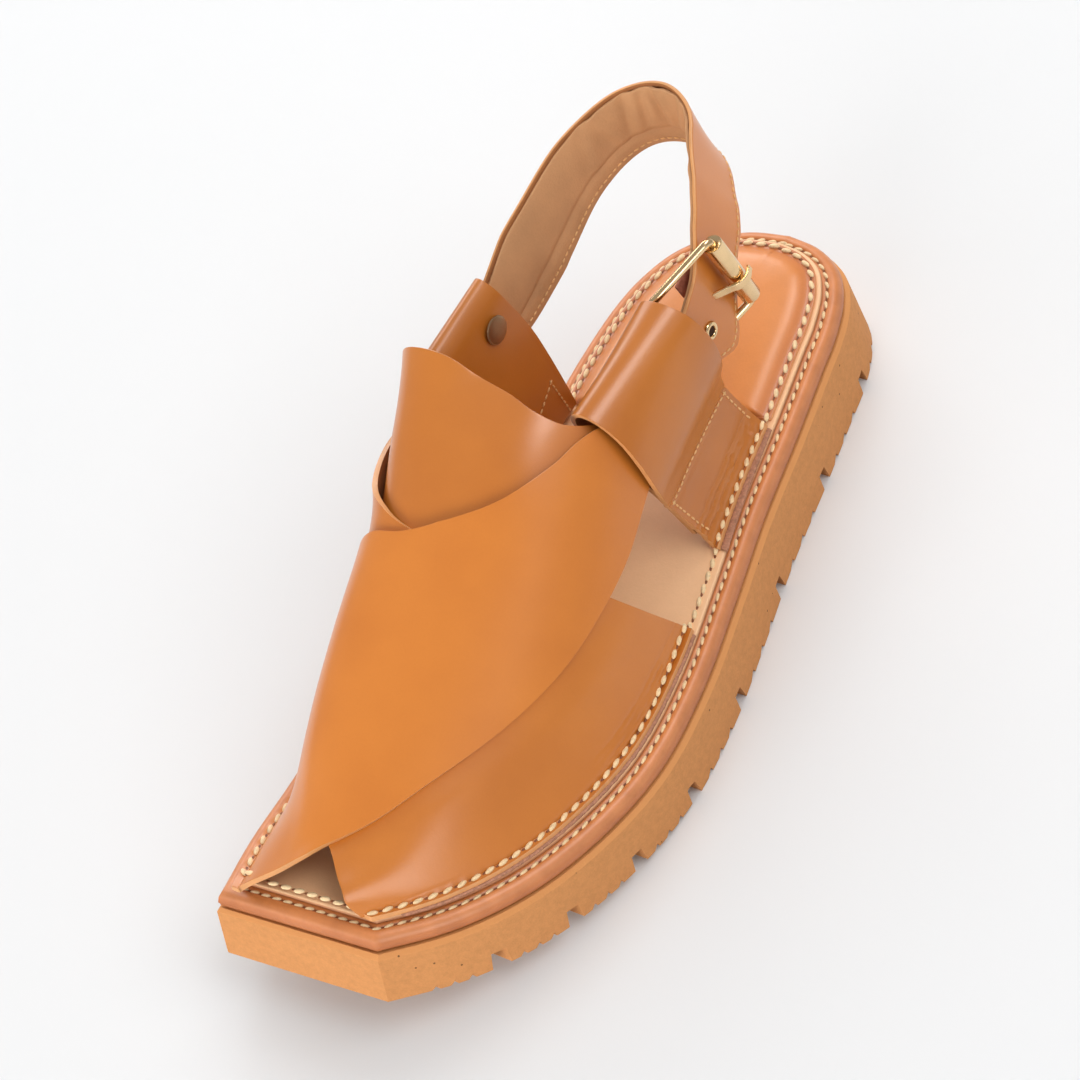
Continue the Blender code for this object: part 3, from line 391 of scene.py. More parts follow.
INSOLE_EDGE = (
    # inset, lift, tone
    (INSOLE_SHOWN_INSET + 0.1, 6.70, 0.0),
    (INSOLE_SHOWN_INSET, 7.10, 0.1),
    (INSOLE_SHOWN_INSET, 7.90, 0.3),
    (INSOLE_SHOWN_INSET + 0.12, 8.25, 0.6),
    (INSOLE_SHOWN_INSET + 0.40, 8.44, 0.9),
    (INSOLE_SHOWN_INSET + 0.80, 8.50, 1.0),
    (INSOLE_SHOWN_INSET + 3.0, 8.50, 1.0),
)
# The pad's tone paints light. The border takes the cut edge's colour with a painted highlight, tones near
# 0.1 are painted shade in the crease by the stitches, and the crown carries a painted highlight.
PAD_CROWN = (
    # in from the border, height, tone
    (0.0, 0.05, 0.0),
    (0.0, 0.70, 0.05),
    (0.35, 0.98, 0.10),
    (1.0, 1.05, 0.15),
    (1.7, 0.88, 0.10),
    (2.4, 1.00, 0.15),
    (3.2, 1.35, 0.30),
    (4.2, 2.00, 0.45),
    (5.4, 2.72, 0.60),
    (7.0, 3.35, 0.72),
    (9.0, 3.80, 0.82),
    (12.0, 4.15, 0.92),
    (16.0, 4.45, 1.0),
    (21.0, 4.60, 1.0),
)


# ------------------------------------------------------------------ what a user would change
def colour_setting(name, description, default):
    return bpy.props.FloatVectorProperty(
        name=name, description=description, default=default, subtype="COLOR", size=3, min=0, max=1)


def length_setting(name, description, default, low, high):
    """A length in metres."""
    return bpy.props.FloatProperty(
        name=name, description=description, default=default, min=low, max=high, subtype="DISTANCE",
        unit="LENGTH")


class SoleLooks(bpy.types.PropertyGroup):
    """Colours of the sole."""

    foam: colour_setting("Foam", "Colour of the outsole's foam", (0.60, 0.26, 0.088))
    edge: colour_setting("Burnished edge", "Colour of the midsole's burnished side", (0.46, 0.145, 0.045))
    welt: colour_setting("Welt", "Colour of the midsole's rounded top", (0.67, 0.23, 0.068))
    insole: colour_setting("Insole", "Colour of the undyed insole leather", (0.94, 0.56, 0.30))
    pad: colour_setting("Heel pad", "Colour of the polished heel pad", (0.72, 0.245, 0.055))


class LeatherLooks(bpy.types.PropertyGroup):
    """Colours and grain of the straps."""

    grain: colour_setting("Strap", "Colour of the straps' polished side", (0.62, 0.195, 0.026))
    deep: colour_setting("Strap, deep", "Darker tone that clouds the straps", (0.50, 0.14, 0.017))
    # Cut edges are paler than the grain: partly their own polished colour, partly a painted highlight that
    # shows them as a bright rim.
    cut: colour_setting("Cut edge", "Colour of the polished cut edges", (0.68, 0.31, 0.11))
    flesh: colour_setting("Flesh side", "Colour of the straps' inner side", (0.36, 0.14, 0.05))
    lining: colour_setting("Lining", "Colour of the heel strap's lining", (0.56, 0.29, 0.135))
    raw: colour_setting("Raw edge", "Colour of raw under-plies", (0.50, 0.24, 0.15))
    roughness: bpy.props.FloatProperty(
        name="Roughness", description="Roughness of the polished leather",
        subtype="FACTOR", min=0, max=1, default=0.30)
    pores: length_setting("Pore size", "Spacing of the leather's pores", 0.0005, 0.0001, 0.005)


class ThreadLooks(bpy.types.PropertyGroup):
    """Sizes and colour of the stitches."""

    colour: colour_setting("Thread", "Colour of the waxed thread", (0.94, 0.69, 0.39))
    fine_colour: colour_setting("Fine thread", "Colour of the straps' thin thread", (0.82, 0.47, 0.20))
    outer_length: length_setting("Outer stitch", "Length of the outer row's stitches", 0.0031, 0.001, 0.01)
    inner_length: length_setting("Inner stitch", "Length of the inner row's stitches", 0.0035, 0.001, 0.01)
    outer_width: length_setting("Outer thread", "Width of the outer row's thread", 0.0014, 0.0002, 0.005)
    inner_width: length_setting("Inner thread", "Width of the inner row's thread", 0.0017, 0.0002, 0.005)
    lean: bpy.props.FloatProperty(
        name="Lean", description="Turn of each sole stitch from its row",
        subtype="ANGLE", unit="ROTATION", min=-1.5, max=1.5, default=0.26)


class MetalLooks(bpy.types.PropertyGroup):
    """Colours of the hardware."""

    gold: colour_setting("Buckle", "Colour of the buckle's plating", (0.84, 0.60, 0.33))
    bronze: colour_setting("Rivet", "Colour of the rivet", (0.36, 0.24, 0.14))


class StageLooks(bpy.types.PropertyGroup):
    """Floor and light."""

    floor: colour_setting("Floor", "Colour of the studio floor", (0.775, 0.78, 0.785))
    sky: bpy.props.FloatProperty(
        name="Sky", description="Strength of the light from all round",
        min=0, max=5, default=0.41)
    lamps: bpy.props.FloatProperty(
        name="Lamps", description="Strength of the soft boxes, as a share of full",
        subtype="FACTOR", min=0, max=4, default=1.0)


# ------------------------------------------------------------------ curves, sole and foot form
def hermite(knots, values, slopes, at):
    """Cubic through values at knots, with given slopes, read at each place in `at`."""
    index = np.clip(np.searchsorted(knots, at, side="right") - 1, 0, len(knots) - 2)
    span = knots[index + 1] - knots[index]
    s = ((at - knots[index]) / span)[:, None]
    span = span[:, None]
    return (
        (2 * s**3 - 3 * s**2 + 1) * values[index]
        + (s**3 - 2 * s**2 + s) * span * slopes[index]
        + (3 * s**2 - 2 * s**3) * values[index + 1]
        + (s**3 - s**2) * span * slopes[index + 1]
    )


def curve_slopes(knots, values):
    """Slope at each knot of a smooth curve through the values."""
    steps = np.diff(values, axis=0) / np.diff(knots)[:, None]
    slopes = np.empty_like(values)
    slopes[0] = steps[0]
    slopes[-1] = steps[-1]
    before = np.diff(knots)[:-1, None]
    after = np.diff(knots)[1:, None]
    slopes[1:-1] = (steps[:-1] * after + steps[1:] * before) / (before + after)
    return slopes


def smooth_read(knots, values, places):
    """Smooth curve through the values at the knots, read at each place."""
    return hermite(knots, values, curve_slopes(knots, values), places)


def smooth_rows(rows, count):
    """Rows of a table resampled along a smooth curve, count rows evenly spread over its knots."""
    values = np.array(rows, float)
    knots = np.arange(len(values), dtype=float)
    return smooth_read(knots, values, np.linspace(0, knots[-1], count))


def smooth_path(points, count):
    """Points along a smooth curve through the given points, count of them."""
    values = np.array(points, float)
    chords = np.linalg.norm(np.diff(values, axis=0), axis=1)
    knots = np.concatenate(([0.0], np.cumsum(np.sqrt(chords))))
    return smooth_read(knots, values, np.linspace(0, knots[-1], count))


def sole_top(along):
    """Height of the outsole's top at each place along the shoe."""
    lift = np.clip(SPRING_START - along, 0, None) / SPRING_LENGTH
    return HEEL_SEAT_HEIGHT + HEEL_PITCH * along + TOE_SPRING * lift**2


def sole_slope(along):
    lift = np.clip(SPRING_START - along, 0, None) / SPRING_LENGTH
    return HEEL_PITCH - 2 * TOE_SPRING * lift / SPRING_LENGTH


def on_sole(across, along, lift):
    """Point at `lift` above the outsole's top, measured square to it."""
    slope = sole_slope(along)
    square = 1 / np.sqrt(1 + slope**2)
    back = along - lift * slope * square
    height = sole_top(along) + lift * square
    return np.stack([across + 0 * along, back, height], axis=-1)


def footbed_height(along, clearance=0.0):
    """Height straight above each place of a surface that lies `clearance` off the insole."""
    return sole_top(along) + (FOOTBED + clearance) * np.sqrt(1 + sole_slope(along)**2)


@functools.lru_cache(maxsize=None)
def edge_curve(side, count=600):
    """Sole's edge on one side (+1 outer, -1 inner), front corner to heel back, with inward normals."""
    corner = FRONT_CORNER_OUTER if side > 0 else FRONT_CORNER_INNER
    column = 1 if side > 0 else 2
    points = [corner] + [(row[column], row[0]) for row in SOLE_STATIONS]
    points += [row[:2] if side > 0 else row[2:] for row in HEEL_POINTS]
    curve = smooth_path(points, count)
    tangent = np.gradient(curve, axis=0)
    inward = np.stack([-tangent[:, 1], tangent[:, 0]], axis=1) * side
    inward /= np.linalg.norm(inward, axis=1)[:, None]
    return curve, inward


def front_line(inset):
    """A point on the front edge line, moved in by inset, and the line's inward normal."""
    outer = np.array(FRONT_CORNER_OUTER)
    inner = np.array(FRONT_CORNER_INNER)
    along = (outer - inner) / np.linalg.norm(outer - inner)
    inward = np.array([-along[1], along[0]])
    return outer + inward * inset, inward


def edge_with_inset(side, inset, places, front_inset=None):
    """Edge points moved in by inset, at places from 0 (front corner) to 1 (heel back)."""
    curve, inward = edge_curve(side)
    moved = curve + inward * inset
    point, normal = front_line(inset if front_inset is None else front_inset)
    inside = (moved - point) @ normal >= -1e-9
    moved = moved[np.argmax(inside):]
    lengths = np.concatenate(([0.0], np.cumsum(np.linalg.norm(np.diff(moved, axis=0), axis=1))))
    wanted = np.asarray(places) * lengths[-1]
    return np.stack([np.interp(wanted, lengths, moved[:, axis]) for axis in (0, 1)], axis=1)


def base_line(side, along, inset=BASE_INSET):
    """Across position of the line `inset` inside the sole's edge, at each place along."""
    curve, inward = edge_curve(side)
    moved = curve + inward * inset
    order = np.argsort(moved[:, 1])
    return np.interp(along, moved[order, 1], moved[order, 0])


def form_row(along):
    rows = np.array(FORM_ROWS, float)
    knots = rows[:, 0]
    places = np.clip(np.atleast_1d(along), knots[0], knots[-1])
    return smooth_read(knots, rows, places)


def form_point(girth, along):
    """Point on the foot form.  Each side is one cubic from the base line up to the crest."""
    girth, along = np.broadcast_arrays(np.asarray(girth, float), np.asarray(along, float))
    shape = girth.shape
    girth = girth.ravel()
    along = along.ravel()
    row = form_row(along)
    inner = girth < 0.5
    t = np.where(inner, girth * 2, (1 - girth) * 2)[:, None]
    foot = np.where(inner, base_line(-1, along), base_line(1, along))
    angle = np.radians(np.where(inner, row[:, 3], row[:, 4]))
    fullness = np.where(inner, row[:, 5], row[:, 6])
    towards = np.where(inner, 1.0, -1.0)
    crest = row[:, 1]
    height = row[:, 2]
    reach = fullness * height / np.maximum(np.sin(angle), 0.5)
    p0 = np.stack([foot, 0 * height], axis=1)
    p1 = p0 + np.stack([towards * np.cos(angle) * reach, np.sin(angle) * reach], axis=1)
    p3 = np.stack([crest, height], axis=1)
    p2 = p3 - np.stack([towards * np.abs(crest - foot) * fullness, 0 * height], axis=1)
    section = (1 - t)**3 * p0 + 3 * (1 - t)**2 * t * p1 + 3 * (1 - t) * t**2 * p2 + t**3 * p3
    floor = footbed_height(along)
    return np.stack([section[:, 0], along, floor + section[:, 1]], axis=1).reshape(shape + (3,))


def form_normal(girth, along, girth_step=0.004, along_step=1.0):
    around = form_point(np.clip(girth + girth_step, 0, 1), along)
    around = around - form_point(np.clip(girth - girth_step, 0, 1), along)
    lengthways = form_point(girth, along + along_step) - form_point(girth, along - along_step)
    normal = np.cross(around, lengthways)
    return normal / np.linalg.norm(normal, axis=-1, keepdims=True)


def above_form(girth, along, lift):
    return form_point(girth, along) + form_normal(girth, along) * np.asarray(lift)[..., None]


def unit(vector):
    vector = np.array(vector, float)
    return vector / np.linalg.norm(vector)


@functools.lru_cache(maxsize=None)
def edge_reader(side, inset):
    """Inset edge of the sole as rising along values with their across values."""
    points = edge_with_inset(side, inset, np.linspace(0, 1, 400))
    order = np.maximum.accumulate(points[:, 1])
    return order, points[:, 0]


def rung_point(side, inset, along, reader):
    """Edge point that belongs to the rung whose nominal place is `along`."""
    alongs, across = reader
    if along < FRONT_ZONE_END:
        share = (along - FRONT_ALONG) / (FRONT_ZONE_END - FRONT_ALONG)
        place = alongs[0] + (FRONT_ZONE_END - alongs[0]) * max(share, 0.0)
    elif along > HEEL_START:
        place = HEEL_START + (along - HEEL_START) * (HEEL_DEPTH - inset) / HEEL_DEPTH
    else:
        place = along
    return float(np.interp(place, alongs, across)), place


def sole_layer(inset, rungs, lift_of):
    """Outer and inner edge points of one layer; lift_of(along) is its height above the sole top."""
    sides = []
    for side in (1, -1):
        reader = edge_reader(side, inset)
        row = [rung_point(side, inset, along, reader) for along in rungs]
        across = np.array([point[0] for point in row])
        along = np.array([point[1] for point in row])
        sides.append(on_sole(across, along, lift_of(np.array(rungs))))
    return sides


def flat_lift(value):
    return lambda along: np.full(len(along), float(value))


def outsole_thickness(along):
    """Thickness square to the sole's top: it stands on the floor up to the ball, then thins."""
    square = 1 / np.sqrt(1 + sole_slope(along)**2)
    standing = sole_top(along) / square
    ball = GROOVES[3]
    share = np.clip((ball - along) / (ball - FRONT_ALONG), 0, 1)
    rising = OUTSOLE_BALL_THICKNESS + (OUTSOLE_TOE_THICKNESS - OUTSOLE_BALL_THICKNESS) * share
    return np.where(along > ball, standing, np.minimum(standing, rising))


def heel_rung(angle):
    """Place along the shoe of a rung that stands at an angle round the heel."""
    return HEEL_START + HEEL_DEPTH * math.sin(math.radians(angle))


def tread_profile():
    """Cut depth of the tread at each rung: grooves, with saw teeth in the blocks between."""
    back = heel_rung(HEEL_LAST_ANGLE)
    half = GROOVE_WIDTH / 2
    profile = [(FRONT_ALONG, 0.0), (FRONT_ALONG + 3, 0.0)]
    starts = [NO_TEETH_BEFORE] + [groove + half for groove in GROOVES]
    ends = [groove - half for groove in GROOVES] + [back - 1]
    for number, (start, end) in enumerate(zip(starts, ends)):
        pitch = (end - start) / TEETH_PER_BLOCK
        for tooth in range(TEETH_PER_BLOCK):
            tip = start + tooth * pitch
            profile.append((tip + SMALL_STEP, 0.0))
            profile.append((tip + 0.6 * pitch, 0.0))
            if tooth < TEETH_PER_BLOCK - 1:
                profile.append((tip + pitch - SMALL_STEP, TOOTH_DEPTH))
            else:
                profile.append((tip + pitch - SMALL_STEP, 0.0))
        if number < len(GROOVES):
            profile.append((end + SMALL_STEP, GROOVE_DEPTH))
            profile.append((end + GROOVE_WIDTH - SMALL_STEP, GROOVE_DEPTH))
    profile.append((back, 0.0))
    return profile


def buckle_frame_line():
    """Rounded oblong through the frame's four corners."""
    top = np.array(ROLLER_TOP)
    bottom = np.array(ROLLER_BOTTOM)
    down = unit(bottom - top)
    forward = np.array(FRAME_FORWARD)
    corners = [
        top - down * FRAME_OVERHANG,
        bottom + down * FRAME_OVERHANG,
        bottom + down * FRAME_OVERHANG + forward,
        top - down * FRAME_OVERHANG + forward,
    ]
    line = []
    for i, corner in enumerate(corners):
        before = unit(corners[i - 1] - corner)
        after = unit(corners[(i + 1) % 4] - corner)
        for share in np.linspace(0, 1, 6):
            bend = (1 - share)**2 * before + share**2 * after
            line.append(corner + bend * FRAME_CORNER)
    return line


# ------------------------------------------------------------------ grids of points
def place(points):
    """Drawing points, in mm, in the part's own frame, in metres."""
    return (np.asarray(points, float) - np.array(DRAWN_CENTRE)) * MM


def refine(grid, rows, columns):
    """Grid of points resampled along smooth curves in both directions."""
    for axis, count in ((0, rows), (1, columns)):
        lines = np.moveaxis(grid, axis, 0)
        knots = np.arange(len(lines), dtype=float)
        flat = lines.reshape(len(lines), -1)
        fine = smooth_read(knots, flat, np.linspace(0, knots[-1], count))
        grid = np.moveaxis(fine.reshape((count,) + lines.shape[1:]), 0, axis)
    return grid


def grid_normals(grid, side):
    """Unit normals of a grid of points, on its grain side."""
    normal = np.cross(np.gradient(grid, axis=0), np.gradient(grid, axis=1)) * side
    return normal / np.linalg.norm(normal, axis=-1, keepdims=True)


def run_lengths(grid, axis):
    """Distance of each grid point from its line's start, along the given axis."""
    steps = np.linalg.norm(np.diff(grid, axis=axis), axis=-1)
    total = np.cumsum(steps, axis=axis)
    return np.concatenate((np.zeros_like(np.take(total, [0], axis=axis)), total), axis=axis)


def wobble(values, *waves):
    """Sum of slow waves, each (wavelength, height, phase): an uneven line that repeats exactly."""
    return sum(height * np.sin(2 * math.pi * values / length + phase) for length, height, phase in waves)


def ridge(distance, width):
    return np.exp(-(distance / width) ** 2)


def smooth_step(low, high, values):
    share = np.clip((values - low) / (high - low), 0, 1)
    return share * share * (3 - 2 * share)


def foot_rows(side, along, flange=FLANGE):
    """The two rows of a strap's turned-out foot: its free edge and its crease."""
    rows = []
    for outward in (flange, 0.6):
        across = base_line(side, along, BASE_INSET - outward)
        rows.append(np.stack([across, along, footbed_height(along, GAP + LEATHER - PLY / 2)], axis=-1))
    return rows


def strap_grid(table, rows, columns, foot_side=None, sink=None):
    """Grid of a vamp strap's middle surface; its grain side stands as high as the solid's."""
    lines = smooth_rows(table, rows)
    share = np.linspace(0, 1, columns)[None, :]
    girth = lines[:, 0:1] + (lines[:, 2:3] - lines[:, 0:1]) * share
    along = lines[:, 1:2] + (lines[:, 3:4] - lines[:, 1:2]) * share
    lift = lines[:, 4:5] + (lines[:, 5:6] - lines[:, 4:5]) * share**2 + (LEATHER - PLY) / 2
    if sink is not None:
        lift = lift - sink(girth, along)
    grid = above_form(girth, along, lift)
    if foot_side is not None:
        grid = np.concatenate([np.stack(foot_rows(foot_side, along[0])), grid[1:]])
    return grid


def loop_grid(table, side, rows, columns, flange):
    """Grid of a side loop's middle surface, with its turned-out foot on the sole."""
    lines = smooth_rows(table, rows)
    share = np.linspace(0, 1, columns)[None, :, None]
    grid = lines[:, None, 0:3] + (lines[:, None, 3:6] - lines[:, None, 0:3]) * share
    return np.concatenate([np.stack(foot_rows(side, grid[0, :, 1], flange)), grid])


def heel_strap_grid(count, columns):
    """Grid of the heel band's middle surface, from the inner loop round to the outer one."""
    rows = smooth_path([row[:3] for row in HEEL_STRAP], count)
    knots = np.linspace(0, len(HEEL_STRAP) - 1, count)
    leans = np.interp(knots, range(len(HEEL_STRAP)), [row[3] for row in HEEL_STRAP])
    widths = np.interp(knots, range(len(HEEL_STRAP)), [row[4] for row in HEEL_STRAP])
    tangents = np.gradient(rows, axis=0)
    grid = []
    for centre, tangent, lean, width in zip(rows, tangents, leans, widths):
        tangent = tangent / np.linalg.norm(tangent)
        up = np.array([lean * 2 / width, 0.0, 1.0])
        up = up - tangent * (up @ tangent)
        up /= np.linalg.norm(up)
        spread = np.linspace(-0.5, 0.5, columns)[:, None] * width
        grid.append(centre + up * spread)
    return np.array(grid)


# ------------------------------------------------------------------ stitch rows
def sole_row(inset, front_inset, lift_of, count, upright=False, points=900):
    """Closed row of stitches round the sole: line points, their normals and the stitches' places.

    An upright row is raised straight up, as the straps' feet are, and not square to the sole.
    """
    places = np.linspace(0, 1, points // 2)
    outer = edge_with_inset(1, inset, places, front_inset)
    inner = edge_with_inset(-1, inset, places, front_inset)[::-1]
    across_front = inner[-1] + (outer[0] - inner[-1]) * np.linspace(0, 1, 60)[1:-1, None]
    flat = np.concatenate([outer, inner[1:], across_front])
    side = np.concatenate([np.ones(len(outer)), -np.ones(len(inner) - 1 + len(across_front))])
    lift = lift_of(side, flat[:, 1])
    line = on_sole(flat[:, 0], flat[:, 1], lift)
    if upright:
        line = np.concatenate([flat, footbed_height(flat[:, 1], lift - FOOTBED)[:, None]], axis=1)
    slope = sole_slope(flat[:, 1])
    normal = np.stack([0 * slope, -slope, np.ones(len(slope))], axis=1)
    normal /= np.linalg.norm(normal, axis=1)[:, None]
    return line, normal, even_places(line, count, closed=True)


def even_places(line, count, closed):
    """Places an equal run apart along a line of points."""
    if closed:
        line = np.concatenate([line, line[:1]])
    run = run_lengths(line, 0)
    wanted = np.linspace(0, run[-1], count + 1)[:-1] if closed else np.linspace(0, run[-1], count)
    return np.stack([np.interp(wanted, run, line[:, axis]) for axis in range(3)], axis=1)


def inner_row_lift(side, along):
    """Height of the inner row: on the insole, or up on whatever is sewn down by it."""
    insole = FOOTBED
    flange = FOOTBED + GAP + LEATHER
    lip = FOOTBED + GAP + 1.0
    lift = np.full(len(along), insole)
    spans = (
        # side, from, to, height
        (1, UNDER_STRAP[0][1], UNDER_STRAP[0][3], flange),
        (1, OUTER_LOOP[0][1] - 0.4, OUTER_LOOP[0][4] + 1.4, flange),
        (1, OUTER_LOOP[0][4] + 1.4, 200, lip),
        (-1, TOP_STRAP[0][1] + 1.5, TOP_STRAP[0][3], flange),
        (-1, INNER_LOOP[0][1] - 0.4, INNER_LOOP[0][4] + 0.6, flange),
        (-1, INNER_LOOP[0][4] + 0.6, 200, lip),
    )
    for span_side, start, end, height in spans:
        share = smooth_step(start - 0.8, start + 0.8, along) * (1 - smooth_step(end - 0.8, end + 0.8, along))
        share = np.where(side == span_side, share, 0)
        lift = lift + (height - lift) * share
    return lift + 0.05


def outer_row_lift(side, along):
    """Height of the outer row, the same all round."""
    return np.full(len(along), OUTER_ROW_LIFT)


@functools.lru_cache(maxsize=None)
def outer_row():
    return sole_row(OUTER_ROW_INSET, OUTER_ROW_INSET, outer_row_lift, OUTER_ROW_STITCHES)


@functools.lru_cache(maxsize=None)
def inner_row():
    return sole_row(INNER_ROW_INSET, INNER_ROW_FRONT_INSET, inner_row_lift, INNER_ROW_STITCHES, upright=True)


def pulled_down(grid, normals):
    """Grid sunk at each stitch of the inner row, where the thread pulls the leather down."""
    stitches = inner_row()[2]
    flat = grid.reshape(-1, 3)
    low = flat.min(0) - 3 * STITCH_REACH
    high = flat.max(0) + 3 * STITCH_REACH
    near = stitches[((stitches > low) & (stitches < high)).all(1)]
    nearest = np.full(len(flat), np.inf)
    for stitch in near:
        nearest = np.minimum(nearest, np.linalg.norm(flat - stitch, axis=1))
    sink = STITCH_PULL * ridge(nearest, STITCH_REACH).reshape(grid.shape[:2])
    return grid - normals * sink[..., None]


# ------------------------------------------------------------------ finishes
def node(tree, kind, inputs=None, **settings):
    """New node.  Each input is given a plain value or another node's output to read."""
    made = tree.nodes.new(kind)
    for name, value in settings.items():
        setattr(made, name, value)
    for socket, value in (inputs or {}).items():
        if isinstance(value, bpy.types.NodeSocket):
            tree.links.new(value, made.inputs[socket])
        else:
            made.inputs[socket].default_value = value
    return made


def maths(tree, operation, *terms):
    """Output of a maths node on values or other outputs."""
    return node(tree, "ShaderNodeMath", dict(enumerate(terms)), operation=operation).outputs[0]


def mixed(tree, factor, first, second, blend="MIX"):
    """Output of a node that mixes two colours."""
    colours = {"Factor": factor, 6: first, 7: second}
    return node(tree, "ShaderNodeMix", colours, data_type="RGBA", blend_type=blend).outputs[2]


def shader_group(name, inputs, outputs):
    """Empty shader node group: its tree, the values it is given and the results it puts out."""
    tree = bpy.data.node_groups.new(name, "ShaderNodeTree")
    for label, kind, default in inputs:
        socket = tree.interface.new_socket(label, in_out="INPUT", socket_type=kind)
        socket.default_value = default
    for label, kind in outputs:
        tree.interface.new_socket(label, in_out="OUTPUT", socket_type=kind)
    return tree, node(tree, "NodeGroupInput").outputs, node(tree, "NodeGroupOutput").inputs


@functools.lru_cache(maxsize=None)
def clouding_group():
    """Two tones of one hide, clouded over each other, with a fine fleck."""
    tree, given, result = shader_group("Hide clouding", (
        ("Colour", "NodeSocketColor", (0.5, 0.2, 0.05, 1)),
        ("Deep colour", "NodeSocketColor", (0.4, 0.15, 0.03, 1)),
        ("Cloud size", "NodeSocketFloat", 0.02),
        ("Cloud amount", "NodeSocketFloat", 0.6),
        ("Fleck amount", "NodeSocketFloat", 0.06),
    ), (("Colour", "NodeSocketColor"),))
    where = node(tree, "ShaderNodeTexCoord").outputs["Object"]
    scale = maths(tree, "DIVIDE", 1.0, given["Cloud size"])
    cloud = node(tree, "ShaderNodeTexNoise", {"Vector": where, "Scale": scale, "Detail": 3.0})
    limits = {"Value": cloud.outputs["Fac"], "From Min": 0.35, "From Max": 0.68}
    spread = node(tree, "ShaderNodeMapRange", limits)
    amount = maths(tree, "MULTIPLY", spread.outputs["Result"], given["Cloud amount"])
    tone = mixed(tree, amount, given["Colour"], given["Deep colour"])
    fleck = node(tree, "ShaderNodeTexNoise", {"Vector": where, "Scale": 1400.0, "Detail": 2.0})
    centred = maths(tree, "SUBTRACT", fleck.outputs["Fac"], 0.5)
    strength = maths(tree, "MULTIPLY_ADD", centred, given["Fleck amount"], 1.0)
    flecked = node(tree, "ShaderNodeHueSaturation", {"Value": strength, "Color": tone})
    tree.links.new(flecked.outputs["Color"], result["Colour"])
    return tree


@functools.lru_cache(maxsize=None)
def grain_group():
    """Height of a leather surface: pores, a fine wrinkle between them and a slow unevenness."""
    tree, given, result = shader_group("Hide grain", (
        ("Pore size", "NodeSocketFloat", 0.0005),
        ("Pores", "NodeSocketFloat", 0.5),
        ("Wrinkle", "NodeSocketFloat", 0.5),
        ("Unevenness", "NodeSocketFloat", 1.0),
    ), (("Height", "NodeSocketFloat"),))
    where = node(tree, "ShaderNodeTexCoord").outputs["Object"]
    density = maths(tree, "DIVIDE", 1.0, given["Pore size"])
    pores = node(tree, "ShaderNodeTexVoronoi", {"Vector": where, "Scale": density}, feature="SMOOTH_F1")
    fine = {"Vector": where, "Scale": 700.0, "Detail": 5.0, "Distortion": 0.6}
    wrinkle = node(tree, "ShaderNodeTexNoise", fine)
    slow = node(tree, "ShaderNodeTexNoise", {"Vector": where, "Scale": 55.0, "Detail": 2.0})
    height = maths(tree, "MULTIPLY", pores.outputs["Distance"], given["Pores"])
    height = maths(tree, "MULTIPLY_ADD", wrinkle.outputs["Fac"], given["Wrinkle"], height)
    height = maths(tree, "MULTIPLY_ADD", slow.outputs["Fac"], given["Unevenness"], height)
    tree.links.new(height, result["Height"])
    return tree


@functools.lru_cache(maxsize=None)
def speck_group():
    """Mask of small specks strewn over a surface, and the foam's fine cells."""
    tree, given, result = shader_group("Foam cells", (
        ("Speck spacing", "NodeSocketFloat", 0.004),
        ("Speck size", "NodeSocketFloat", 0.06),
        ("Cell size", "NodeSocketFloat", 0.0006),
    ), (("Specks", "NodeSocketFloat"), ("Cells", "NodeSocketFloat")))
    where = node(tree, "ShaderNodeTexCoord").outputs["Object"]
    spread = maths(tree, "DIVIDE", 1.0, given["Speck spacing"])
    specks = node(tree, "ShaderNodeTexVoronoi", {"Vector": where, "Scale": spread})
    small = maths(tree, "LESS_THAN", specks.outputs["Distance"], given["Speck size"])
    tree.links.new(small, result["Specks"])
    density = maths(tree, "DIVIDE", 1.0, given["Cell size"])
    fine = {"Vector": where, "Scale": density, "Detail": 4.0, "Roughness": 0.7}
    cells = node(tree, "ShaderNodeTexNoise", fine)
    tree.links.new(cells.outputs["Fac"], result["Cells"])
    return tree


def new_finish(name, roughness, metallic=0.0, coat=0.0, specular=0.5):
    """Material with its Principled shader's plain values set."""
    material = bpy.data.materials.new(name)
    material.use_nodes = True
    shader = material.node_tree.nodes["Principled BSDF"]
    values = {"Roughness": roughness, "Metallic": metallic, "Specular IOR Level": specular,
              "Coat Weight": coat, "Coat Roughness": COAT_ROUGHNESS}
    for socket, value in values.items():
        shader.inputs[socket].default_value = value
    return material, material.node_tree, shader


def use_group(tree, group, values):
    """A node group placed in a material, with its own values."""
    return node(tree, "ShaderNodeGroup", values, node_tree=group).outputs


def add_bump(tree, shader, height, strength, distance):
    bump = node(tree, "ShaderNodeBump", {"Strength": strength, "Distance": distance, "Height": height})
    tree.links.new(bump.outputs["Normal"], shader.inputs["Normal"])


def clouds(colour, deep, size, amount, fleck):
    """Values for the clouding group; a colour is three numbers or another node's output."""
    colours = {}
    for label, value in (("Colour", colour), ("Deep colour", deep)):
        colours[label] = value if isinstance(value, bpy.types.NodeSocket) else (*value, 1)
    return colours | {"Cloud size": size, "Cloud amount": amount, "Fleck amount": fleck}


def dress(tree, shader, tone, pore_size, pores, wrinkle, unevenness, bump, depth=0.0002):
    """Clouded colour and grain on a material's shader."""
    clouded = use_group(tree, clouding_group(), tone)
    tree.links.new(clouded["Colour"], shader.inputs["Base Color"])
    grain = use_group(tree, grain_group(), {
        "Pore size": pore_size, "Pores": pores, "Wrinkle": wrinkle, "Unevenness": unevenness})
    add_bump(tree, shader, grain["Height"], bump, depth)


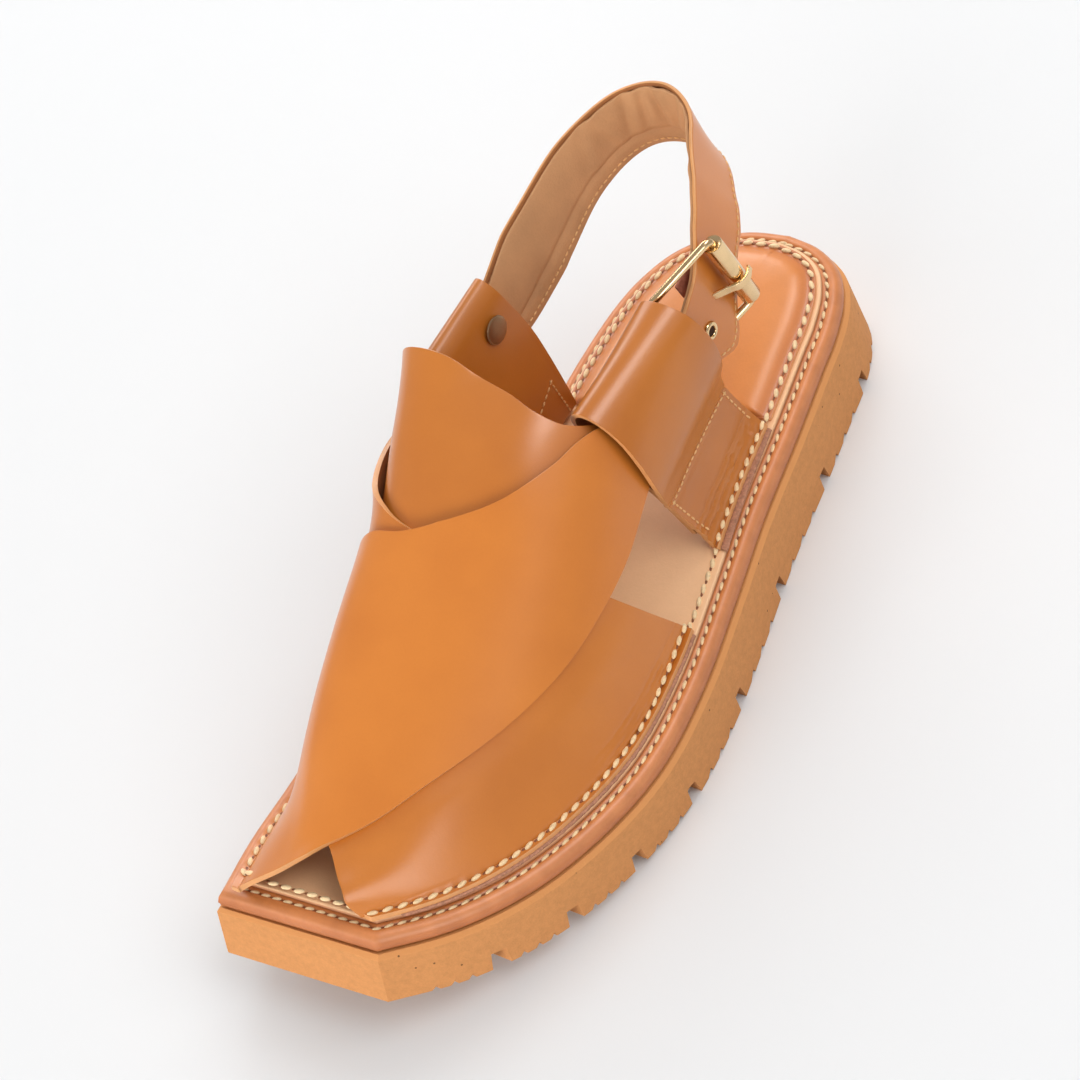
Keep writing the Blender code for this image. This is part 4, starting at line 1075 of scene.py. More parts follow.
@functools.lru_cache(maxsize=None)
def hide_finish(name, colour, deep, roughness, cloud=0.02, fleck=0.06, pores=0.5, wrinkle=0.5,
                unevenness=0.6, bump=0.25, coat=0.0, specular=0.5):
    """Leather: clouded colour, pores and a slow unevenness."""
    material, tree, shader = new_finish(name, roughness, coat=coat, specular=specular)
    pore_size = bpy.context.scene.sandal_leather.pores
    tone = clouds(colour, deep, cloud, HIDE_CLOUDING, fleck)
    dress(tree, shader, tone, pore_size, pores, wrinkle, unevenness, bump)
    return material


def shade(colour, factor):
    return tuple(min(1.0, channel * factor) for channel in colour)


def strap_finishes(depth=1.0, coat=0.25):
    """Grain side, flesh side and cut edge of a strap; depth below 1 darkens its grain side, a darker copy of
    the same hide that paints shade on a piece lying in shade.
    """
    looks = bpy.context.scene.sandal_leather
    name = f"strap_grain_shaded_to_{round(100 * depth)}"
    grain = hide_finish(name, shade(looks.grain, depth), shade(looks.deep, depth), looks.roughness,
                        cloud=0.03, fleck=0.05, pores=0.30, wrinkle=0.35, unevenness=1.2, bump=0.22,
                        coat=coat)
    flesh = hide_finish("strap_flesh", tuple(looks.flesh), shade(looks.flesh, 0.7), 0.85, cloud=0.008,
                        fleck=0.25, pores=0.6, wrinkle=1.4, bump=0.7, specular=0.2)
    # cut edge: its own colour with a painted highlight
    cut = hide_finish("strap_cut_edge", tuple(looks.cut), shade(looks.cut, 0.75), 0.38, cloud=0.006,
                      fleck=0.12, pores=0.1, wrinkle=0.6, bump=0.25, coat=0.15)
    return grain, flesh, cut


@functools.lru_cache(maxsize=None)
def toned_finish(name, stops, roughness, coat=0.0, bump=0.3, fleck=0.08, cloud=0.5):
    """Leather whose colour follows the surface's own tone value."""
    material, tree, shader = new_finish(name, roughness, coat=coat)
    tone = node(tree, "ShaderNodeAttribute", attribute_name="tone")
    ramp = node(tree, "ShaderNodeValToRGB", {"Fac": tone.outputs["Fac"]})
    ramp.color_ramp.interpolation = "EASE"
    while len(ramp.color_ramp.elements) < len(stops):
        ramp.color_ramp.elements.new(0.5)
    for element, (position, colour) in zip(ramp.color_ramp.elements, stops):
        element.position = position
        element.color = (*colour, 1)
    colour = ramp.outputs["Color"]
    darker = mixed(tree, 1.0, colour, (0.72, 0.66, 0.6, 1), "MULTIPLY")
    tone = clouds(colour, darker, size=0.006, amount=cloud, fleck=fleck)
    dress(tree, shader, tone, pore_size=0.0005, pores=0.3, wrinkle=0.8, unevenness=0.5, bump=bump)
    return material


@functools.lru_cache(maxsize=None)
def foam_finish():
    """Tan foam with fine cells, sparse dark specks and a painted highlight along its chamfer."""
    foam = tuple(bpy.context.scene.sandal_sole.foam)
    material, tree, shader = new_finish("tan_foam", 0.82, specular=0.3)
    sizes = {"Speck spacing": 0.0065, "Speck size": 0.055, "Cell size": 0.0009}
    cells = use_group(tree, speck_group(), sizes)
    tone = clouds(foam, shade(foam, 0.86), size=0.0022, amount=0.7, fleck=0.22)
    clouded = use_group(tree, clouding_group(), tone)
    # The chamfer, tone near 1, is painted paler: a painted highlight.
    ledge = node(tree, "ShaderNodeAttribute", attribute_name="tone")
    chamfer_highlighted = mixed(tree, ledge.outputs["Fac"], clouded["Colour"], (*shade(foam, 1.12), 1))
    specked = mixed(tree, cells["Specks"], chamfer_highlighted, (*shade(foam, 0.28), 1))
    tree.links.new(specked, shader.inputs["Base Color"])
    pitted = maths(tree, "SUBTRACT", cells["Cells"], cells["Specks"])
    add_bump(tree, shader, pitted, strength=0.45, distance=0.00025)
    return material


@functools.lru_cache(maxsize=None)
def thread_finish(name, colour):
    """Waxed thread, mottled and rough."""
    material, tree, shader = new_finish(name, 0.55, specular=0.4)
    tone = clouds(colour, shade(colour, 0.74), size=0.0012, amount=0.8, fleck=0.3)
    dress(tree, shader, tone, pore_size=0.0003, pores=0.8, wrinkle=1.0, unevenness=0.0, bump=0.5)
    return material


@functools.lru_cache(maxsize=None)
def metal_finish(name, colour, roughness):
    """Plated metal with faint handling marks."""
    material, tree, shader = new_finish(name, roughness, metallic=1.0)
    tone = clouds(colour, shade(colour, 0.82), size=0.004, amount=0.6, fleck=0.04)
    dress(tree, shader, tone, pore_size=0.0009, pores=0.25, wrinkle=0.35, unevenness=0.6, bump=0.12,
          depth=0.0001)
    return material


# ------------------------------------------------------------------ mesh makers
def link_piece(name, mesh, *finishes):
    thing = bpy.data.objects.new(name, mesh)
    for finish in finishes:
        mesh.materials.append(finish)
    bpy.context.scene.collection.objects.link(thing)
    return thing


def finished(thing, slot, *nodes):
    """The piece rides on the shoe's one body and stands for its CAD solids; its finish slot is not used."""
    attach(thing, "root")
    if nodes:
        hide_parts(*nodes)
    return thing


def add_values(mesh, name, values):
    attribute = mesh.attributes.new(name, "FLOAT", "POINT")
    attribute.data.foreach_set("value", np.asarray(values, np.float32))


def leather_sheet(name, grid, side, thickness, finishes, rounding=EDGE_ROUNDING):
    """Strap of even thickness on a grid of its middle surface, with rounded cut edges."""
    rows, columns = grid.shape[:2]
    corner = (np.arange(rows - 1)[:, None] * columns + np.arange(columns - 1)[None]).ravel()
    order = (0, columns, columns + 1, 1) if side > 0 else (0, 1, columns + 1, columns)
    faces = np.stack([corner + step for step in order], axis=1)
    mesh = bpy.data.meshes.new(name)
    mesh.from_pydata(place(grid).reshape(-1, 3).tolist(), [], faces.tolist())
    mesh.shade_smooth()
    across = run_lengths(grid, 1).ravel() * MM
    down = run_lengths(grid, 0).ravel() * MM
    unwrapped = mesh.uv_layers.new(name="run")
    loops = np.empty(len(mesh.loops), np.int32)
    mesh.loops.foreach_get("vertex_index", loops)
    unwrapped.data.foreach_set("uv", np.stack([across[loops], down[loops]], axis=1).ravel())
    thing = link_piece(name, mesh, *finishes)
    wall = thing.modifiers.new("Thickness", "SOLIDIFY")
    wall.thickness = thickness * MM
    wall.offset = 0
    wall.material_offset = 1
    wall.material_offset_rim = 2
    if rounding:
        soft = thing.modifiers.new("Rounded edge", "BEVEL")
        soft.width = rounding * MM
        soft.segments = 3
        soft.limit_method = "ANGLE"
        soft.angle_limit = math.radians(50)
    return thing


def layered_piece(name, layers, finish, tones=None, sharp=35.0):
    """Closed solid from flat-lying layers, bottom to top; each is (outer side points, inner side points)."""
    count = len(layers[0][0])
    points = np.concatenate([np.concatenate([outer, inner[::-1]]) for outer, inner in layers])
    ring = np.arange(2 * count)
    following = np.roll(ring, -1)
    faces = []
    for level in range(len(layers) - 1):
        low = level * 2 * count
        high = low + 2 * count
        faces.append(np.stack([low + ring, low + following, high + following, high + ring], axis=1))
    rungs = np.arange(count - 1)
    cap = np.stack([rungs, rungs + 1, 2 * count - 2 - rungs, 2 * count - 1 - rungs], axis=1)
    faces.append(cap[:, ::-1])
    faces.append(cap + (len(layers) - 1) * 2 * count)
    mesh = bpy.data.meshes.new(name)
    mesh.from_pydata(place(points).tolist(), [], np.concatenate(faces).tolist())
    mesh.shade_smooth()
    mesh.set_sharp_from_angle(angle=math.radians(sharp))
    if tones is not None:
        add_values(mesh, "tone", np.repeat(tones, 2 * count))
    return link_piece(name, mesh, finish)


def line_piece(name, points, closed):
    """Working line of edges through the given points."""
    edges = [(i, i + 1) for i in range(len(points) - 1)]
    if closed:
        edges.append((len(points) - 1, 0))
    mesh = bpy.data.meshes.new(name + "_line")
    mesh.from_pydata(points, edges, [])
    return link_piece(name + "_line", mesh)


def turned_piece(name, profile, centre, axis, finish, steps=48, closed=False):
    """Solid of revolution about an axis, from (radius, height) pairs that run down its outside."""
    line = line_piece(name, [(radius * MM, 0.0, height * MM) for radius, height in profile], closed)
    turn = line.modifiers.new("Turn", "SCREW")
    turn.steps = steps
    turn.render_steps = steps
    turn.use_merge_vertices = True
    turn.merge_threshold = 0.00001
    made = as_mesh(line, name)
    rotation = Vector((0, 0, 1)).rotation_difference(Vector(axis)).to_matrix().to_4x4()
    rotation.translation = Vector(place(centre))
    made.transform(rotation)
    made.shade_smooth()
    made.set_sharp_from_angle(angle=math.radians(40))
    return link_piece(name, made, finish)


def as_mesh(thing, name):
    """Plain mesh of an object with its modifiers; the object is removed."""
    bpy.context.view_layer.update()
    mesh = bpy.data.meshes.new_from_object(thing.evaluated_get(bpy.context.evaluated_depsgraph_get()))
    mesh.name = name
    mesh.materials.clear()
    bpy.data.objects.remove(thing, do_unlink=True)
    return mesh


def wire_piece(name, points, radius, finish):
    """Closed ring of round wire through the given points."""
    data = bpy.data.curves.new(name, "CURVE")
    data.dimensions = "3D"
    data.bevel_depth = radius * MM
    data.bevel_resolution = 6
    line = data.splines.new("POLY")
    line.points.add(len(points) - 1)
    for target, point in zip(line.points, place(points)):
        target.co = (*point, 1.0)
    line.use_cyclic_u = True
    guide = bpy.data.objects.new(name + "_line", data)
    bpy.context.scene.collection.objects.link(guide)
    mesh = as_mesh(guide, name)
    mesh.shade_smooth()
    return link_piece(name, mesh, finish)


# ------------------------------------------------------------------ stitches
@functools.lru_cache(maxsize=None)
def stitch_tree():
    """Geometry nodes: a row of thread beads along a line, each square to the leather."""
    tree = bpy.data.node_groups.new("Stitch row", "GeometryNodeTree")
    tree.is_modifier = True
    face = tree.interface
    for label, kind in (("Geometry", "Geometry"), ("Stitches", "Int"), ("Length", "Float"),
                        ("Width", "Float"), ("Height", "Float"), ("Lean", "Float"),
                        ("Unevenness", "Float"), ("Seed", "Int"), ("Thread", "Material")):
        face.new_socket(label, in_out="INPUT", socket_type="NodeSocket" + kind)
    face.new_socket("Geometry", in_out="OUTPUT", socket_type="NodeSocketGeometry")
    given = node(tree, "NodeGroupInput").outputs
    curve = node(tree, "GeometryNodeMeshToCurve", {"Mesh": given["Geometry"]}).outputs["Curve"]
    spaced = node(tree, "GeometryNodeResampleCurve", {"Curve": curve, "Count": given["Stitches"]})
    outward = node(tree, "GeometryNodeInputNamedAttribute", {"Name": "outward"}, data_type="FLOAT_VECTOR")
    tangent = node(tree, "GeometryNodeInputTangent")
    axes = {"Primary Axis": outward.outputs["Attribute"], "Secondary Axis": tangent.outputs["Tangent"]}
    facing = node(tree, "FunctionNodeAxesToRotation", axes, primary_axis="Z", secondary_axis="X")
    spread = {2: -1.0, 3: 1.0, "Seed": given["Seed"]}
    jitter = node(tree, "FunctionNodeRandomValue", spread, data_type="FLOAT")
    lean = maths(tree, "MULTIPLY_ADD", jitter.outputs[1], given["Unevenness"], given["Lean"])
    turn = node(tree, "FunctionNodeAxisAngleToRotation", {"Axis": (0, 0, 1), "Angle": lean})
    turns = {"Rotation": facing.outputs["Rotation"], "Rotate By": turn.outputs["Rotation"]}
    leaning = node(tree, "FunctionNodeRotateRotation", turns, rotation_space="LOCAL")
    bead = node(tree, "GeometryNodeMeshUVSphere", {"Segments": 8, "Rings": 7, "Radius": 0.5}).outputs["Mesh"]
    lying = node(tree, "GeometryNodeTransform", {"Geometry": bead, "Rotation": (0, math.pi / 2, 0)})
    size = node(tree, "ShaderNodeCombineXYZ", {0: given["Length"], 1: given["Width"], 2: given["Height"]})
    thread = {"Geometry": lying.outputs["Geometry"], "Scale": size.outputs[0]}
    stitch = node(tree, "GeometryNodeTransform", thread).outputs["Geometry"]
    spots = {"Points": spaced.outputs["Curve"], "Instance": stitch, "Rotation": leaning.outputs["Rotation"]}
    beads = node(tree, "GeometryNodeInstanceOnPoints", spots).outputs["Instances"]
    solid = node(tree, "GeometryNodeRealizeInstances", {"Geometry": beads}).outputs["Geometry"]
    smooth = node(tree, "GeometryNodeSetShadeSmooth", {"Geometry": solid}).outputs["Geometry"]
    painted = node(tree, "GeometryNodeSetMaterial", {"Geometry": smooth, "Material": given["Thread"]})
    node(tree, "NodeGroupOutput", {"Geometry": painted.outputs["Geometry"]})
    return tree


def stitch_row(name, line, normals, count, size, finish, closed=False, lean=0.0, uneven=0.06, seed=1):
    """Beads of thread along a line of drawing points; size is (length, width, height) in metres."""
    guide = line_piece(name, place(line).tolist(), closed)
    outward = guide.data.attributes.new("outward", "FLOAT_VECTOR", "POINT")
    outward.data.foreach_set("vector", np.asarray(normals, np.float32).ravel())
    tree = stitch_tree()
    row = guide.modifiers.new("Stitch row", "NODES")
    row.node_group = tree
    values = {"Stitches": count, "Length": size[0], "Width": size[1], "Height": size[2], "Lean": lean,
              "Unevenness": uneven, "Seed": seed, "Thread": finish}
    for item in tree.interface.items_tree:
        if item.name in values and item.in_out == "INPUT":
            row[item.identifier] = values[item.name]
    made = as_mesh(guide, name)
    return link_piece(name, made, finish)


def shifted(line, normals, share, count):
    """The same closed line started part of a stitch later, so that its beads fall between the others'."""
    run = run_lengths(np.concatenate([line, line[:1]]), 0)
    start = int(np.searchsorted(run, run[-1] / count * share))
    return np.roll(line, -start, axis=0), np.roll(normals, -start, axis=0)


# ------------------------------------------------------------------ sole
def dense_rungs(step=3.0):
    """Nominal places of a smooth layer's rungs, closer together round the heel."""
    rungs = [FRONT_ALONG + behind for behind in (0, 1.5, 4, 7, 10, 14)]
    rungs += list(np.arange(FRONT_ZONE_END, HEEL_START, step))
    rungs += [heel_rung(angle) for angle in np.linspace(0, HEEL_LAST_ANGLE + 3, 34)]
    return sorted(rungs)


def tread_rungs():
    """The tread's rungs and cut depths, with more rungs round the heel so that it stays round."""
    profile = tread_profile()
    alongs = np.array([along for along, _ in profile])
    depths = np.array([depth for _, depth in profile])
    round_heel = [heel_rung(angle) for angle in np.linspace(0, HEEL_LAST_ANGLE, 30)]
    extra = [along for along in list(np.arange(FRONT_ZONE_END, HEEL_START, 2.5)) + round_heel
             if np.abs(alongs - along).min() > 0.4]
    every = np.sort(np.concatenate([alongs, extra]))
    return every, np.interp(every, alongs, depths)


def make_outsole():
    rungs, cut = tread_rungs()
    edge = -OUTSOLE_MARGIN
    rungs = list(rungs)
    levels = (
        # inset, lift of the layer, tone; tone near 1 is a painted highlight on the chamfer
        (edge + 0.35, lambda along: cut - outsole_thickness(along), 0.0),
        (edge, lambda along: cut + 0.35 - outsole_thickness(along), 0.0),
        (edge, flat_lift(-OUTSOLE_CHAMFER - 0.25), 0.0),
        (edge + 0.08, flat_lift(-OUTSOLE_CHAMFER), 0.9),
        (edge + OUTSOLE_CHAMFER, flat_lift(0), 1.0),
        (edge + OUTSOLE_CHAMFER + 1.2, flat_lift(0), 0.2),
    )
    layers = [sole_layer(inset, rungs, lift) for inset, lift, _ in levels]
    piece = layered_piece("foam_outsole", layers, foam_finish(), [tone for _, _, tone in levels], sharp=25.0)
    return finished(piece, "sole_foam", "outsole")


def sole_sheet(name, edge, finish):
    """Leather sheet the shape of the sole, from the rows of its edge: inset, lift and tone."""
    rungs = dense_rungs()
    layers = [sole_layer(inset, rungs, flat_lift(lift)) for inset, lift, _ in edge]
    return layered_piece(name, layers, finish, [tone for _, _, tone in edge], sharp=60.0)


def make_midsole():
    looks = bpy.context.scene.sandal_sole
    edge = tuple(looks.edge)
    welt = tuple(looks.welt)
    stops = (
        # painted shade where the burnished side meets the outsole
        (0.0, shade(edge, 0.55)),
        (0.22, edge),
        (0.50, tuple(0.6 * a + 0.4 * b for a, b in zip(edge, welt))),
        # pinkish painted highlight on the upper rounding
        (0.66, (0.60, 0.225, 0.085)),
        (0.82, welt),
        (0.92, shade(welt, 1.02)),
        # painted shade in the groove of the outer row
        (1.0, shade(welt, 0.55)),
    )
    finish = toned_finish("burnished_edge", stops, 0.38, coat=0.06, bump=0.3)
    return finished(sole_sheet("leather_midsole", MIDSOLE_EDGE, finish), "burnished_edge", "midsole")


def make_insole():
    looks = bpy.context.scene.sandal_sole
    top = tuple(looks.insole)
    stops = ((0.0, (0.42, 0.17, 0.08)), (0.5, shade(top, 0.8)), (1.0, top))
    finish = toned_finish("natural_insole", stops, 0.5, bump=0.3, fleck=0.06, cloud=0.1)
    return finished(sole_sheet("leather_insole", INSOLE_EDGE, finish), "natural_leather", "insole")


def heel_pad_layer(inwards, height, count=150):
    """One layer of the heel pad, `inwards` from its own border."""
    sides = []
    places = np.linspace(0, 1, count)
    back = HEEL_START + HEEL_DEPTH - HEEL_PAD_INSETS[1] - inwards
    front = HEEL_PAD_FRONT + inwards
    straight = front + (HEEL_START - front) * np.clip(places / 0.5, 0, 1)
    turn = np.radians(89.0) * np.clip((places - 0.5) / 0.5, 0, 1)
    along = np.where(places <= 0.5, straight, HEEL_START + (back - HEEL_START) * np.sin(turn))
    for side in (1, -1):
        start = HEEL_PAD_WIDENS[side]
        share = smooth_step(start - 0.4, start + 2.4, along)
        inset = HEEL_PAD_INSETS[0] + (HEEL_PAD_INSETS[1] - HEEL_PAD_INSETS[0]) * share + inwards
        across = np.empty(count)
        for i, (place_along, depth) in enumerate(zip(along, inset)):
            alongs, values = edge_reader(side, round(float(depth), 1))
            across[i] = np.interp(place_along, alongs, values)
        sides.append(on_sole(across, along, np.full(count, FOOTBED + GAP + height)))
    return sides


def make_heel_pad():
    looks = bpy.context.scene.sandal_sole
    pad = tuple(looks.pad)
    stops = (
        # paler border: the pad's cut edge with a painted highlight
        (0.0, (0.74, 0.32, 0.12)),
        # painted shade in the crease beside the stitches
        (0.14, (0.50, 0.15, 0.04)),
        # painted shade on the dome's lower slope
        (0.35, (0.62, 0.20, 0.05)),
        (0.8, pad),
        # painted highlight on the crown
        (1.0, shade(pad, 1.04)),
    )
    finish = toned_finish("polished_pad_painted_light", stops, 0.32, coat=0.15, bump=0.2, cloud=0.12)
    layers = [heel_pad_layer(inwards, height) for inwards, height, _ in PAD_CROWN]
    piece = layered_piece("heel_pad_cushion", layers, finish, [tone for _, _, tone in PAD_CROWN], sharp=75.0)
    return finished(piece, "polished_leather", "heel_pad")


def make_raw_edges():
    """Reddish under-plies that show outside the straps' feet on the outer side."""
    looks = bpy.context.scene.sandal_leather
    finish = hide_finish("raw_under_ply", tuple(looks.raw), shade(looks.raw, 0.45), 0.95, cloud=0.0012,
                         fleck=0.7, pores=1.0, wrinkle=2.0, bump=1.0, specular=0.1)
    for name, start, end, front_inset, back_inset in UNDER_PLIES:
        along = np.linspace(start, end, 120)
        share = (along - start) / (end - start)
        outer = front_inset + (back_inset - front_inset) * share
        outer = outer + wobble(along, (3.1, 0.06, 0.3), (1.3, 0.05, 1.0))
        hidden = np.full(len(along), UNDER_PLY_HIDDEN_INSET)
        rows = []
        for inset, clearance in ((outer, -0.05), (outer + 0.05, 0.45), (outer + 0.3, 0.62), (hidden, 0.62)):
            across = np.array([base_line(1, a, i) for a, i in zip(along, inset)])
            bumpy = clearance + wobble(along, (1.7, 0.04, 0.0), (0.9, 0.03, 2.0))
            rows.append(np.stack([across, along, footbed_height(along) + bumpy], axis=1))
        piece = leather_sheet(name, np.array(rows), -1, 0.3, (finish, finish, finish), rounding=0)
        finished(piece, "chape_leather")


# ------------------------------------------------------------------ straps
def upper_sink(girth, along):
    """How far the under strap lies below its own solid, where the top strap covers it."""
    edge = np.array([(row[1], row[0]) for row in TOP_STRAP])
    cover = np.interp(along, edge[:, 0], edge[:, 1])
    return 0.7 * (1 - smooth_step(cover + 0.005, cover + 0.075, girth))


def foot_creases(grid, normals, count, spacing, fan, height, start, end):
    """Soft ridges that run beside the inner row, fanning apart towards the strap's front edge.

    start and end bound them, as shares of the strap's width.
    """
    distance = run_lengths(grid, 0)
    share = np.linspace(0, 1, grid.shape[1])[None, :]
    within = smooth_step(start - 0.05, start + 0.08, share)
    within = within * (1 - smooth_step(end - 0.08, end + 0.05, share))
    total = np.zeros(grid.shape[:2])
    for number in range(count):
        centre = FIRST_CREASE + number * (spacing + fan * (1 - share))
        centre = centre + wobble(share, (0.31, 0.25, number), (0.13, 0.12, 2.0 * number))
        fade = 1.0 - 0.16 * number
        total += ridge(distance - centre, 0.75) * fade * (0.75 + 0.25 * np.sin(9.0 * share + 1.7 * number))
        total -= 0.6 * ridge(distance - centre - 1.2, 0.7) * fade
    return grid + normals * (height * within * total)[..., None]


def make_vamp():
    top = refine(strap_grid(TOP_STRAP, rows=60, columns=22, foot_side=-1), rows=190, columns=110)
    top = pulled_down(top, grid_normals(top, 1))
    piece = leather_sheet("top_vamp_strap", top, 1, PLY, strap_finishes())
    finished(piece, "tan_leather", "upper")
    under = strap_grid(UNDER_STRAP, rows=60, columns=22, foot_side=1, sink=upper_sink)
    under = refine(under, rows=260, columns=150)
    normals = grid_normals(under, -1)
    under = pulled_down(under, normals)
    under = foot_creases(under, normals, count=3, spacing=1.6, fan=0.8, height=0.6, start=0.62, end=1.05)
    under = foot_creases(under, normals, count=2, spacing=1.0, fan=0.5, height=0.12, start=0.0, end=0.22)
    # The under strap's grain is painted a tenth darker: painted shade.
    piece = leather_sheet("under_vamp_strap", under, -1, PLY, strap_finishes(0.90))
    finished(piece, "tan_leather", "upper")


def make_tongue():
    grid = refine(strap_grid(TONGUE, rows=50, columns=14), rows=170, columns=60)
    # The tongue's grain is painted darker: painted shade.
    piece = leather_sheet("curled_tongue", grid, 1, TONGUE_PLY, strap_finishes(0.86))
    return finished(piece, "tan_leather", "tongue")


def seam_valley(grid, normals):
    """Outer loop drawn in along its long seam, where the fold is sewn down on the flat panel."""
    run = run_lengths(grid, 0)
    share = np.linspace(0, 1, grid.shape[1])
    height = LOOP_SEAM_HEIGHT[0] + (LOOP_SEAM_HEIGHT[1] - LOOP_SEAM_HEIGHT[0]) * share
    rows = np.argmax(grid[:, :, 2] > height[None, :], axis=0)
    seam = run[rows, np.arange(grid.shape[1])]
    away = run - seam[None, :]
    sink = SEAM_DEPTH * ridge(away - 0.9, SEAM_REACH)
    return grid - normals * sink[..., None]


def loop_surface(table, side, flange, rows, columns):
    """Fine grid of a side loop, sunk at its stitches, and the normals it had before that."""
    grid = loop_grid(table, side, rows=40, columns=10 if side > 0 else 8, flange=flange)
    grid = refine(grid, rows, columns)
    normals = grid_normals(grid, -side)
    grid = grid + normals * (LEATHER - PLY) / 2
    return pulled_down(grid, normals), normals


@functools.lru_cache(maxsize=None)
def outer_loop_surface():
    grid, normals = loop_surface(OUTER_LOOP, 1, LOOP_FLANGE, rows=330, columns=90)
    grid = foot_creases(grid, normals, count=3, spacing=1.6, fan=1.6, height=0.55, start=-0.1, end=0.97)
    return seam_valley(grid, normals)


@functools.lru_cache(maxsize=None)
def inner_loop_surface():
    return loop_surface(INNER_LOOP, -1, FLANGE, rows=190, columns=50)[0]


def make_loops():
    # Both loops' grain is painted a fifth darker: painted shade.
    finishes = strap_finishes(0.80, coat=0.10)
    loops = (
        # name, solid, surface, grain side, seams, part of the strip that they lie on
        ("outer_side_loop", "outer_loop", outer_loop_surface(), -1, LOOP_SEAMS, (0.0, 0.45)),
        ("inner_side_loop", "inner_loop", inner_loop_surface(), 1, INNER_LOOP_SEAMS, (0.45, 1.0)),
    )
    for name, solid, surface, side, _, _ in loops:
        finished(leather_sheet(name, surface, side, PLY, finishes), "tan_leather", solid)
    fine = thread_finish("fine_thread", tuple(bpy.context.scene.sandal_thread.fine_colour))
    for _, _, surface, side, seams, part in loops:
        for seam, points in seams:
            sewn_line(seam, surface, side, points, part, fine)


def sewn_line(name, grid, side, points, part, finish, thickness=PLY):
    """Fine stitches on a sheet's grain side, through the places nearest the given points.

    part bounds the rows that the line may lie on, as shares of the sheet's length.
    """
    normals = grid_normals(grid, side)
    first = int(part[0] * (len(grid) - 1))
    last = int(part[1] * (len(grid) - 1)) + 1
    knots = []
    for point in points:
        gap = np.linalg.norm(grid[first:last] - np.array(point), axis=2)
        row, column = np.unravel_index(np.argmin(gap), gap.shape)
        knots.append((row + first, column))
    knots = np.array(knots, float)
    steps = np.linspace(0, len(knots) - 1, 60)
    rows = np.interp(steps, range(len(knots)), knots[:, 0])
    columns = np.interp(steps, range(len(knots)), knots[:, 1])
    line = bilinear(grid, rows, columns)
    outward = bilinear(normals, rows, columns)
    outward /= np.linalg.norm(outward, axis=1)[:, None]
    line = line + outward * (thickness / 2 + FINE_STITCH_LIFT)
    count = max(2, int(round(run_lengths(line, 0)[-1] / FINE_PITCH)))
    row = stitch_row(name, line, outward, count, FINE_STITCH, finish)
    return finished(row, "cream_thread")


def bilinear(grid, rows, columns):
    """Grid values at fractional rows and columns."""
    low_row = np.clip(rows.astype(int), 0, grid.shape[0] - 2)
    low_column = np.clip(columns.astype(int), 0, grid.shape[1] - 2)
    down = (rows - low_row)[:, None]
    across = (columns - low_column)[:, None]
    near = grid[low_row, low_column] * (1 - across) + grid[low_row, low_column + 1] * across
    far = grid[low_row + 1, low_column] * (1 - across) + grid[low_row + 1, low_column + 1] * across
    return near * (1 - down) + far * down


# ------------------------------------------------------------------ heel strap
STRAP_SIDE = -1              # grain side of the heel strap's grid


def strap_layer(grid, normals, offset, trim_low, trim_high):
    """Grid moved along its normals and trimmed at its lower and upper edges, in mm."""
    width = run_lengths(grid, 1)
    share = np.linspace(0, 1, grid.shape[1])
    made = []
    for row, run, out in zip(grid, width, normals):
        wanted = trim_low + (run[-1] - trim_low - trim_high) * share
        moved = row + out * offset
        made.append(np.stack([np.interp(wanted, run, moved[:, axis]) for axis in range(3)], axis=1))
    return np.array(made)


def flared_tail(grid):
    """Heel strap with the lower edge of its tail bellied out over the buckle's lower bar."""
    share = np.linspace(0, 1, grid.shape[1])[None, :]
    lower = grid[:, :1, 1]
    past_heel = (np.arange(len(grid)) > len(grid) // 2)[:, None]
    belly = ridge(lower - TAIL_BELLY_ALONG, 6.5) * past_heel * (1 - share) ** 1.6
    return grid + belly[..., None] * np.array([1.5, 0.0, -5.2])


def lining_relief(count, columns):
    """How far the lining swells, with folds across it at the heel and a long tuck near its lower edge."""
    run = np.linspace(0, 1, count)[:, None]
    share = np.linspace(0, 1, columns)[None, :]
    upper = smooth_step(0.18, 0.55, share)
    folds = np.zeros((count, columns))
    for centre, width, depth, slant in LINING_FOLDS:
        line = run - centre - slant * (share - 0.5)
        folds += depth * ridge(line, width) * upper
        folds -= 0.5 * depth * ridge(line - 0.016, width) * upper
    tuck = ridge(share - 0.27 - 0.02 * np.sin(6 * run), 0.045)
    folds += 0.75 * tuck * (1 - 0.3 * smooth_step(0.5, 0.9, run))
    folds += wobble(run, (0.11, 0.08, 0.2), (0.047, 0.05, 1.0)) * np.sin(math.pi * share)
    return LINING_BULGE * np.sin(math.pi * share) ** 0.7 - folds


